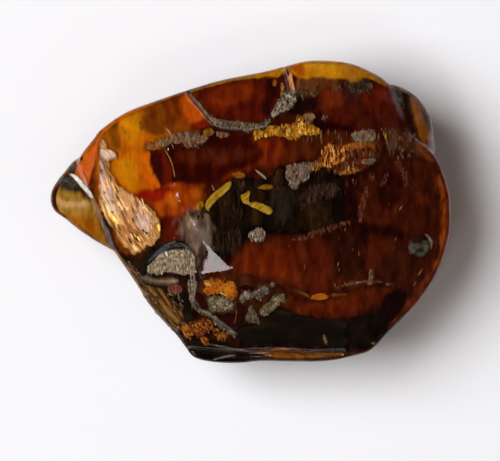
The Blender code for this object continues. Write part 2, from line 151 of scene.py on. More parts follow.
# Facets: a point, the height there, and the slope in X and Y
topFacets = [
    ((2.0, 0.0), 20.0, (-0.045, 0.035)),       # broad top
    ((-9.9, 5.0), 20.7, (0.62, 0.16)),         # left face
    ((-5.5, -4.2), 20.19, (0.2, 0.187)),       # left shoulder
    ((-5.5, -4.2), 20.19, (0.11, 0.211)),      # small corner facet
    ((-12.8, -11.9), 13.2, (0.68, 0.5)),       # lower left bevel
    ((-1.9, -7.4), 19.91, (0.03, 0.62)),       # front face
    ((-3.5, 16.4), 15.8, (0.12, -0.7)),        # back bevel
    ((25.9, 0.0), 14.6, (-0.5, -0.08)),        # right slope
    ((19.0, 14.0), 14.6, (-0.6, -0.62)),       # back right corner
    ((21.0, -12.0), 13.4, (-0.6, 0.5)),        # front right slope
]
underFacets = [
    ((9.0, 5.0), 0.0, (0.36, 0.3)),
    ((2.0, -7.5), 0.0, (0.05, -0.5)),
    ((-8.0, 2.0), 0.0, (-0.42, 0.1)),
    ((-9.0, -9.0), 2.6, (-0.75, -0.6)),
    ((19.0, -3.0), 3.6, (0.95, -0.1)),
    ((-3.0, 11.0), 2.2, (-0.12, 0.85)),
]


def wave(size, x, y, z):
    height, length = size
    return height * noise.noise(Vector((x, y, z)) / length)


def swell(share, fullness):
    wide, tall = fullness
    return max(0.0, 1.0 - min(share, 1.0) ** wide) ** (1.0 / tall)


def blendLow(values, softness):
    low = min(values)
    return low - softness * math.log(sum(math.exp((low - v) / softness) for v in values))


def facetHeight(facet, x, y):
    point, height, slope = facet
    return height + slope[0] * (x - point[0]) + slope[1] * (y - point[1])


def onRidge(x, y):
    # the place itself, or the nearest one on a ridge between two cut faces, and which it was
    order = sorted((facetHeight(facet, x, y), facet[2]) for facet in topFacets)
    (low, slope), (above, other), (third, _) = order[:3]
    gx, gy = other[0] - slope[0], other[1] - slope[1]
    steep = gx * gx + gy * gy
    if (third - low < lump["cornerGap"] or steep < lump["leastRidge"]
            or above - low > lump["ridgeReach"] * math.sqrt(steep)):
        return x, y, False
    return x - (above - low) * gx / steep, y - (above - low) * gy / steep, True


def mainRim(x, y):
    angle = math.atan2(y - mainCentre[1], x - mainCentre[0])
    return (lump["rimHeight"] + lump["rimLiftBack"] * math.sin(angle)
            - lump["rimLiftLeft"] * math.cos(angle)
            + wave(lump["rimWave"], *mainForm.place(angle, 1.0), 4.0))


def edgeOf(centre, x, y, share):
    # the place on the outline that lies in the same direction
    reach = max(share, 0.01)
    return [c + (v - c) / reach for c, v in zip(centre, (x, y))]


def mainTop(x, y, share):
    edge = edgeOf(mainCentre, x, y, share)
    rim = max(mainRim(x, y), min(facetHeight(f, *edge) for f in topFacets) - lump["edgeDrop"])
    dome = rim + (lump["topHeight"] - rim) * swell(share, lump["topFullness"])
    heights = [dome] + [facetHeight(facet, x, y) for facet in topFacets]
    return max(blendLow(heights, lump["edgeSoftness"]) + wave(lump["relief"], x, y, 0.0), rim)


def mainUnder(x, y, share):
    rim = mainRim(x, y)
    bowl = rim - (rim + lump["restSink"]) * swell(share, lump["underFullness"])
    depths = [-bowl] + [-facetHeight(facet, x, y) for facet in underFacets]
    height = -blendLow(depths, lump["underSoftness"]) - lump["underSoftness"]
    return min(max(height + wave(lump["underRelief"], x, y, 9.0) * share, 0.0), rim)


def surface(x, y):
    return mainTop(x, y, mainForm.share(x, y))


def sideForm(form):
    def levels(x):
        reach = x - form["centre"][0]
        return [form[key] + form["taper"][k] * reach
                for k, key in enumerate(("low", "middle", "high"))]

    def top(x, y, share):
        middle, high = levels(x)[1:]
        cut = facetHeight(form["cut"], *edgeOf(form["centre"], x, y, share))
        middle = max(middle, min(high, cut) - lump["edgeDrop"])
        dome = middle + (high + lump["sideRise"] - middle) * swell(share, lump["topFullness"])
        return (blendLow([dome, facetHeight(form["cut"], x, y)], lump["sideSoftness"])
                + wave(lump["relief"], x, y, 3.0))

    def under(x, y, share):
        low, middle = levels(x)[:2]
        return (middle - (middle - low) * swell(share, lump["sideUnderFullness"])
                + wave(lump["relief"], x, y, 3.0))

    return Outline(form["outline"], form["centre"]), top, under


lumpForms = [(mainForm, mainTop, mainUnder), sideForm(nose), sideForm(lobe)]


def sculpt(outline, top, under, divisions, crowding=0.62):
    # a sphere whose points are moved to an outline, a top and an underside
    segments, rings = divisions
    shape = bmesh.new()
    bmesh.ops.create_uvsphere(shape, u_segments=segments, v_segments=rings, radius=1.0)
    for vert in shape.verts:
        angle = math.atan2(vert.co.y, vert.co.x)
        level = max(-1.0, min(1.0, vert.co.z))
        share = math.sqrt(max(0.0, 1.0 - level * level)) ** crowding
        x, y = outline.place(angle, share)
        height = top(x, y, share) if level >= -1e-6 else under(x, y, share)
        vert.co = Vector((x, y, height)) * mm
    return shape


def inScene(thing):
    bpy.context.scene.collection.objects.link(thing)
    return thing


def meshObject(name, shape, finish):
    mesh = bpy.data.meshes.new(name)
    shape.to_mesh(mesh)
    shape.free()
    mesh.shade_smooth()
    mesh.materials.append(finish)
    return inScene(bpy.data.objects.new(name, mesh))


def keep(piece, nodes=()):
    # every piece rides on the one body
    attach(piece, "root")
    if nodes:
        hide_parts(*nodes)


# Finishes

def hexLinear(code):
    # an sRGB hex colour as linear light, with its alpha
    values = [int(code[i:i + 2], 16) / 255 for i in (1, 3, 5)]
    return [v / 12.92 if v <= 0.04045 else ((v + 0.055) / 1.055) ** 2.4 for v in values] + [1.0]


def addNode(tree, kind, settings=None, links=None, stops=()):
    # settings: properties by name, or inputs by number or title; links: inputs fed by sockets;
    # stops: the places and colours along a colour ramp
    node = tree.nodes.new(kind)
    for key, value in (settings or {}).items():
        if isinstance(key, str) and hasattr(node, key):
            setattr(node, key, value)
        else:
            node.inputs[key].default_value = value
    for key, source in (links or {}).items():
        tree.links.new(source, node.inputs[key])
    if stops:
        elements = node.color_ramp.elements
        for _ in range(len(stops) - len(elements)):
            elements.new(0.5)
        for element, (spot, code) in zip(elements, stops):
            element.position = spot
            element.color = hexLinear(code)
    return node


def newFinish(name):
    finish = bpy.data.materials.new(name)
    finish.use_nodes = True
    finish.node_tree.nodes.clear()
    return finish, finish.node_tree


def perMm(millimetres):
    # noise scale that gives features of this size on coordinates in metres
    return 1.0 / (millimetres * mm)


def amberFinish():
    # fossil resin, hand polished: clear honey where thin, deep red where thick, wet gloss
    spec = {"ior": 1.54, "roughness": 0.03, "tint": "#fff4e0",
            "absorbColour": (0.925, 0.745, 0.0, 1.0), "density": 750.0}
    finish, tree = newFinish("polishedFossilResin")
    shader = addNode(tree, "ShaderNodeBsdfPrincipled", {
        "Base Color": hexLinear(spec["tint"]), "Roughness": spec["roughness"],
        "IOR": spec["ior"], "Transmission Weight": 1.0})
    volume = addNode(tree, "ShaderNodeVolumeAbsorption", {
        "Color": spec["absorbColour"], "Density": spec["density"]})
    addNode(tree, "ShaderNodeOutputMaterial", links={
        "Surface": shader.outputs[0], "Volume": volume.outputs[0]})
    return finish


def mottled(name, colours, grain=1.2, rough=0.55, stretch=(1.0, 1.0), turn=0, bump=0.3,
            fine=0.25, warp=0.3, spread=(0.32, 0.68), gloss=0.0, detail=6.0, fray=0.6,
            fineFray=0.6, paint=None):
    # colours over turned and stretched noise, with a finer grain in the bump; with paint, they
    # are laid over a colour kept on the mesh. What lies in the resin has no gloss of its own
    finish, tree = newFinish(name)
    coords = addNode(tree, "ShaderNodeTexCoord")
    turned = addNode(tree, "ShaderNodeMapping", {"Rotation": (0, 0, math.radians(turn))},
                     {"Vector": coords.outputs["Object"]})
    pulled = addNode(tree, "ShaderNodeMapping", {"Scale": (*stretch, 1.0)},
                     {"Vector": turned.outputs[0]})
    patches = addNode(tree, "ShaderNodeTexNoise", {
        "Scale": perMm(grain), "Detail": detail, "Roughness": fray, "Distortion": warp},
        {"Vector": pulled.outputs[0]})
    grit = addNode(tree, "ShaderNodeTexNoise", {
        "Scale": perMm(fine), "Detail": 3.0, "Roughness": fineFray}, {"Vector": pulled.outputs[0]})
    codes = colours.split()
    colour = addNode(tree, "ShaderNodeValToRGB", links={0: patches.outputs[0]},
                     stops=list(zip(np.linspace(*spread, len(codes)), codes))).outputs[0]
    if paint:
        painted = addNode(tree, "ShaderNodeAttribute", {"attribute_name": paint})
        mixed = addNode(tree, "ShaderNodeMix", {
            "data_type": "RGBA", "blend_type": "MULTIPLY", "Factor": 1.0},
            {6: painted.outputs["Color"], 7: colour})
        colour = mixed.outputs[2]
    raised = addNode(tree, "ShaderNodeBump", {"Strength": bump, "Distance": 0.1 * mm},
                     {"Height": grit.outputs[0]})
    shader = addNode(tree, "ShaderNodeBsdfPrincipled", {
        "Roughness": rough, "Specular IOR Level": gloss},
        {"Base Color": colour, "Normal": raised.outputs[0]})
    addNode(tree, "ShaderNodeOutputMaterial", links={"Surface": shader.outputs[0]})
    return finish


upright = (1.6, 0.55)     # marks drawn out along Y
barkTurn = 63             # the grain on the left face runs down to the right
barkGrain = dict(grain=0.9, stretch=(0.25, 1.4), turn=barkTurn, bump=0.6)
crumbly = dict(grain=0.5, stretch=upright, bump=0.7)
gritty = dict(grain=0.35, stretch=upright, rough=0.6, bump=0.6, fine=0.14, gloss=0.12)

finishTable = {
    # resin clouded by dust and tiny bubbles: dull and soft edged, drawn out along Y; its painted
    # colour also holds painted highlights, reflections and glow
    "cloud": ("cloudyResinAndPaintedLight", "#dadada #ffffff",
              dict(grain=0.9, stretch=(1.7, 0.5), warp=0.0, spread=(0.34, 0.62), rough=0.6,
                   bump=0.25, fine=0.22, detail=7.0, fray=0.65, fineFray=0.5, paint="cloud")),
    # the same where a cloud has an edge of its own: glowing orange, or nearly black red
    "hotOrange": ("hotOrangeCloud", "#c9721f #e18a27 #f1a733", dict(grain=2.0)),
    "lensDark": ("darkRedLens", "#2c0a08 #3a0f0c #4a1812", dict(grain=2.5)),
    # bark polished flush: peach to brown fibres with dark slits, and flecks that shine gold; the
    # slits' dark also paints shadows among debris, on the bevel and in the pit
    "bark": ("tanBarkFibre", "#8a5530 #c48a56 #e6b680 #f6d4a2", barkGrain),
    "barkGrey": ("greyBarkFibre", "#6b4a38 #a07c66 #bf9c84 #d6b69e", barkGrain),
    "goldLeaf": ("goldBarkFleck", "#e09a30 #f7c860 #f7e49a", dict(grain=0.6)),
    "slit": ("darkSlitAndShadow", "#1c0f0a #3a2014", dict(grain=0.5)),
    # broken crumbs of bark and wood: rough and dull, streaked along their length
    "tanCrumb": ("tanBarkCrumb", "#503224 #866450 #a88a76 #c6ac9a", crumbly),
    "orangeCrumb": ("orangeBarkCrumb", "#7c3c12 #b8702a #dd9a50", crumbly),
    "rustCrumb": ("rustBarkCrumb", "#431809 #763318 #a05a34",
                  dict(crumbly, grain=0.6, bump=0.6)),
    "goldCrumb": ("goldenBarkCrumb", "#5e380c #986018 #c98e2c #e6b548",
                  dict(crumbly, grain=0.6)),
    # wood fibres seen along their length: fine gold lines with dark ones between
    "goldSliver": ("goldWoodSliver", "#8c701c #c6a22c #f0d664",
                   dict(grain=0.5, stretch=(0.5, 1.3), turn=-45, bump=0.5)),
    "bevelFibre": ("goldenEdgeFibre", "#2e1c10 #6e4c26 #b88c48",
                   dict(grain=0.7, stretch=(0.25, 1.3), turn=55, bump=0.6)),
    "ledgeGold": ("goldLedgeStrip", "#4a2a10 #7c4e22 #b07c3c",
                  dict(grain=0.9, stretch=(0.4, 1.2))),
    # black fossil wood: near black with brown fibres, no shine under the resin
    "blackWood": ("blackFossilWood", "#100c0b #1c1512 #32241c #4e3a2e",
                  dict(grain=2.2, stretch=upright, bump=0.5)),
    "fibreVeil": ("brownWoodFibre", "#1a1412 #3e2f28 #6c5548",
                  dict(grain=0.7, stretch=(1.8, 0.35), bump=0.6)),
    "brownMottle": ("brownWoodMottle", "#1c1214 #433234 #6c5656",
                    dict(grain=0.6, stretch=upright, bump=0.6)),
    # a charred layer, also painted shade on the hollow's upper wall
    "charredAndShade": ("charredLayerAndShade", "#120f0c #1f1914 #342a22",
                dict(grain=2.5, stretch=(0.5, 1.2), rough=0.4)),
    # mineral grit, grey with a little green or pink: rough grains with a faint glint
    "grit": ("greyGreenGrit", "#2c241a #5e4f3b #86755b #b6a78c", dict(gritty, grain=0.3)),
    "darkGrit": ("darkGreyGrit", "#221c15 #57493b #8e7c66 #c6b8a0", gritty),
    "paleGrit": ("paleGritGrain", "#3e382c #6f6755 #9c937e #d2cbb8",
                 dict(gritty, rough=0.5, bump=0.5, gloss=0.15)),
    "pinkGrit": ("pinkGreyGrit", "#33261f #5e4c42 #85736a #b0a096",
                 dict(gritty, grain=0.4, rough=0.55, bump=0.5, fine=0.15, gloss=0.15)),
    "noseDark": ("greyNoseVein", "#262122 #4c4648 #76706f", dict(grain=0.7)),
    "pitFloor": ("greyPitFloor", "#34302a #5a544a #7e776c",
                 dict(grain=0.6, rough=0.5, bump=0.5)),
    # thin films of dust and air in cracks: pale, flat and dull; the same finishes also paint
    # highlights, reflections and glints on ridges, rims and creases
    "haze": ("paleCrackDustAndSheen", "#5a4a44 #83736c #a89a94", dict(grain=0.8, stretch=upright)),
    "whiteFilmAndGlint": ("paleCrackFilmAndGlint", "#8d8a84 #bdbab4 #eceae4", dict(grain=0.5)),
    "pinkStreak": ("pinkCrackFilmAndGlint", "#5e3030 #854e48 #a87066", dict(grain=0.5, stretch=upright)),
    "peach": ("peachCrackFilmAndGlint", "#c87c40 #eaa870 #f7cea0", dict(grain=0.5)),
}
print("finishes")
finishes = {key: mottled(name, colours, **options)
            for key, (name, colours, options) in finishTable.items()}
finishes["amber"] = amberFinish()


# The amber itself

cuts = {
    "grooves": [
        # route, radius, depth
        ("-8.7,17.2 -8.1,15.8 -7.8,15.1 -7.2,14.3 -6.2,13.3 -5.4,12.3 -4.6,11.5", 0.36, 0.5),
        ("-4.6,11.5 -3.6,11.1 -1.6,10.9 0.6,10.8 2.2,11.4", 0.5, 0.15),
        ("4.3,20 4.5,18.8 4.9,17.5 5.2,16.3 5.5,15.4", 0.34, 0.5),
        ("-7.6,-18 -3,-18.5 3,-18.2 9,-18.5 12,-18.3", 0.5, 0.35),
        ("-7.3,-9.4 -7.5,-11.4 -6.6,-13 -4.6,-14.1 -2,-16.2", 0.45, 0.25),
    ],
    "pit": {"centre": (22.1, -4.4), "reach": 2.0125, "depth": 0.28, "floorShare": 1.7},
    "grooveReach": 1.6,        # a groove reaches this far past its radius, with a soft edge
    # the hollow that holds the grit on the left front
    "hollow": {"depth": 0.55, "edge": 0.8, "outline": 
        "-13.6,-7.2 -12.6,-5.6 -10.8,-4.2 -8.8,-3.9 -7.2,-5.2 -7,-8 -8.4,-8.2 -11,-8.2"},
}


def grooveTree(route, spacing=0.12):
    places = np.array(drawn(route))
    found = []
    for start, end in zip(places[:-1], places[1:]):
        steps = max(2, int(np.hypot(*(end - start)) / spacing))
        for step in range(steps):
            x, y = start + (end - start) * step / steps
            found.append(Vector((x, y, surface(x, y))))
    tree = kdtree.KDTree(len(found))
    for index, spot in enumerate(found):
        tree.insert(spot, index)
    tree.balance()
    return tree


def insideRing(ring, places):
    # which places lie inside a closed ring, by counting crossings
    x, y = places[:, 0][:, None], places[:, 1][:, None]
    x0, y0 = ring[:, 0], ring[:, 1]
    x1, y1 = np.roll(x0, -1), np.roll(y0, -1)
    spans = (y0 > y) != (y1 > y)
    rise = np.where(y1 == y0, 1e-9, y1 - y0)
    crossings = spans & (x < (x1 - x0) * (y - y0) / rise + x0)
    return crossings.sum(axis=1) % 2 == 1


def ringDistance(ring, places):
    # how far each place is from the nearest point of a ring
    return np.sqrt(((places[:, None, :] - ring[None, :, :]) ** 2).sum(axis=2).min(axis=1))


def joinForms(name, forms, voxel, passes, finish):
    # closed forms run together into one skin and smoothed
    joined = bmesh.new()
    for form in forms:
        part = bpy.data.meshes.new("form")
        form.to_mesh(part)
        form.free()
        joined.from_mesh(part)
        bpy.data.meshes.remove(part)
    piece = meshObject(name, joined, finish)
    union = piece.modifiers.new("union", "REMESH")
    union.mode = "VOXEL"
    union.voxel_size = voxel * mm
    mesh = bpy.data.meshes.new_from_object(
        piece.evaluated_get(bpy.context.evaluated_depsgraph_get()))
    piece.modifiers.clear()
    piece.data = mesh
    mesh.materials.clear()
    mesh.materials.append(finish)
    shape = bmesh.new()
    shape.from_mesh(mesh)
    for _ in range(passes):
        bmesh.ops.smooth_vert(shape, verts=shape.verts, factor=0.5, use_axis_x=True,
                              use_axis_y=True, use_axis_z=True)
    shape.to_mesh(mesh)
    shape.free()
    mesh.shade_smooth()
    return piece


def snapToFaces(shape):
    # smoothing rounds the cut faces off, so their points go back, and the ridges are sharp
    for vert in shape.verts:
        vert.tag = False
        x, y = vert.co.x / mm, vert.co.y / mm
        if (vert.normal.z > lump["levelNormal"] and mainForm.share(x, y) < lump["snapShare"]
                and abs(vert.co.z - surface(x, y) * mm) < lump["snap"] * mm):
            x, y, vert.tag = onRidge(x, y)
            vert.co = Vector((x, y, surface(x, y))) * mm
    for edge in shape.edges:
        edge.smooth = not (edge.verts[0].tag and edge.verts[1].tag)


def amberPiece():
    forms = [sculpt(*form, steps) for form, steps in zip(lumpForms, lump["divisions"])]
    piece = joinForms("amber", forms, lump["voxel"], lump["smoothing"], finishes["amber"])
    mesh = piece.data
    shape = bmesh.new()
    shape.from_mesh(mesh)
    shape.normal_update()
    snapToFaces(shape)
    shape.normal_update()
    plan = np.array([vert.co[:2] for vert in shape.verts]) / mm
    hollow, pit = cuts["hollow"], cuts["pit"]
    ring = closedCurve(hollow["outline"], 90)
    near = insideRing(ring, plan)
    inward = np.zeros(len(plan))
    inward[near] = ringDistance(ring, plan[near])
    trees = [(grooveTree(route), cuts["grooveReach"] * radius, depth)
             for route, radius, depth in cuts["grooves"]]
    pitFoot = Vector((*pit["centre"], surface(*pit["centre"])))
    moves = []
    for vert, reach in zip(shape.verts, inward):
        spot = vert.co / mm
        sinks = [0.0]
        if spot.z > lump["cutsAbove"]:
            sinks += [depth * ease(max(0.0, 1.0 - tree.find(spot)[2] / radius))
                      for tree, radius, depth in trees]
            share = max(0.0, 1.0 - (spot - pitFoot).length / pit["reach"])
            sinks.append(pit["depth"] * ease(min(1.0, share * pit["floorShare"])))
            if vert.normal.z > 0:
                sinks.append(hollow["depth"] * ease(min(1.0, reach / hollow["edge"])))
        polish = wave(lump["handPolish"], *spot) if spot.z >= lump["restFlat"] else 0.0
        moves.append(vert.normal * (polish - max(sinks)) * mm)
    for vert, move in zip(shape.verts, moves):
        vert.co += move
        vert.co.z = max(vert.co.z, 0.0)
    shape.to_mesh(mesh)
    skin = BVHTree.FromPolygons([tuple(vert.co / mm) for vert in shape.verts],
                                [[vert.index for vert in face.verts] for face in shape.faces])
    shape.free()
    mesh.shade_smooth()
    keep(piece, ["amber_lower", "amber_upper"])
    return skin


print("amber")
amberSkin = amberPiece()


# how the polished face is looked up: from above and below, in steps towards the middle until
# the amber is thick enough
probe = {"above": 60.0, "below": -5.0, "inward": 0.06, "steps": 12, "thin": 0.8}


def amberTop(x, y):
    return amberSkin.ray_cast(Vector((x, y, probe["above"])), Vector((0, 0, -1)))[0]


def column(x, y):
    # a place, or one further in, with the heights of the amber's top and underside there
    for step in range(probe["steps"]):
        share = 1.0 - probe["inward"] * step
        at = (mainCentre[0] + (x - mainCentre[0]) * share, y * share)
        hit = amberTop(*at)
        foot = amberSkin.ray_cast(Vector((*at, probe["below"])), Vector((0, 0, 1)))[0]
        if hit and foot and hit.z - foot.z > probe["thin"]:
            return (*at, hit.z, foot.z)
    return (*mainCentre, 20.0, 0.0)


# The cloudy resin under the clear skin, which gives the deep places their colour; a few of its
# clouds are painted highlights, reflections and glow through the rim
mass = {
    "inset": (0.972, 0.88, 0.88), "roof": (1.8, 0.7, 0.7),   # lump, nose and lobe
    "base": 1.0, "voxel": 0.27, "depth": 1.8, "sideDepth": 0.8, "leastDepth": 0.25,
    "smoothing": 4, "light": 0.56, "sheen": 0.003,
    "loss": (0.056, 0.191, 0.75),    # of red, green and blue in a millimetre of the amber
    "path": 2.25,                    # light goes down and comes up, on a slant
    "dive": (0.35, 2.5),             # how far lumps lift and sink its face, and their size
    # sizes along X, Y and Z, coarse and fine
    "tearSizes": ((0.45, 1.5, 0.5), (0.2, 0.6, 0.2)),
    "mottleSizes": ((1.0, 2.4, 0.125), (0.35, 1.0, 1.0)),
    "flowSizes": ((7.0, 7.0, 1.2), (1.6, 1.6, 0.5)),
    "tear": 1.2, "flow": 1.3,        # how strongly edges are torn, and the sides streaked
    "level": 0.2,                    # faces turned up more than this belong to the top
    "divisions": (200, 100),
}
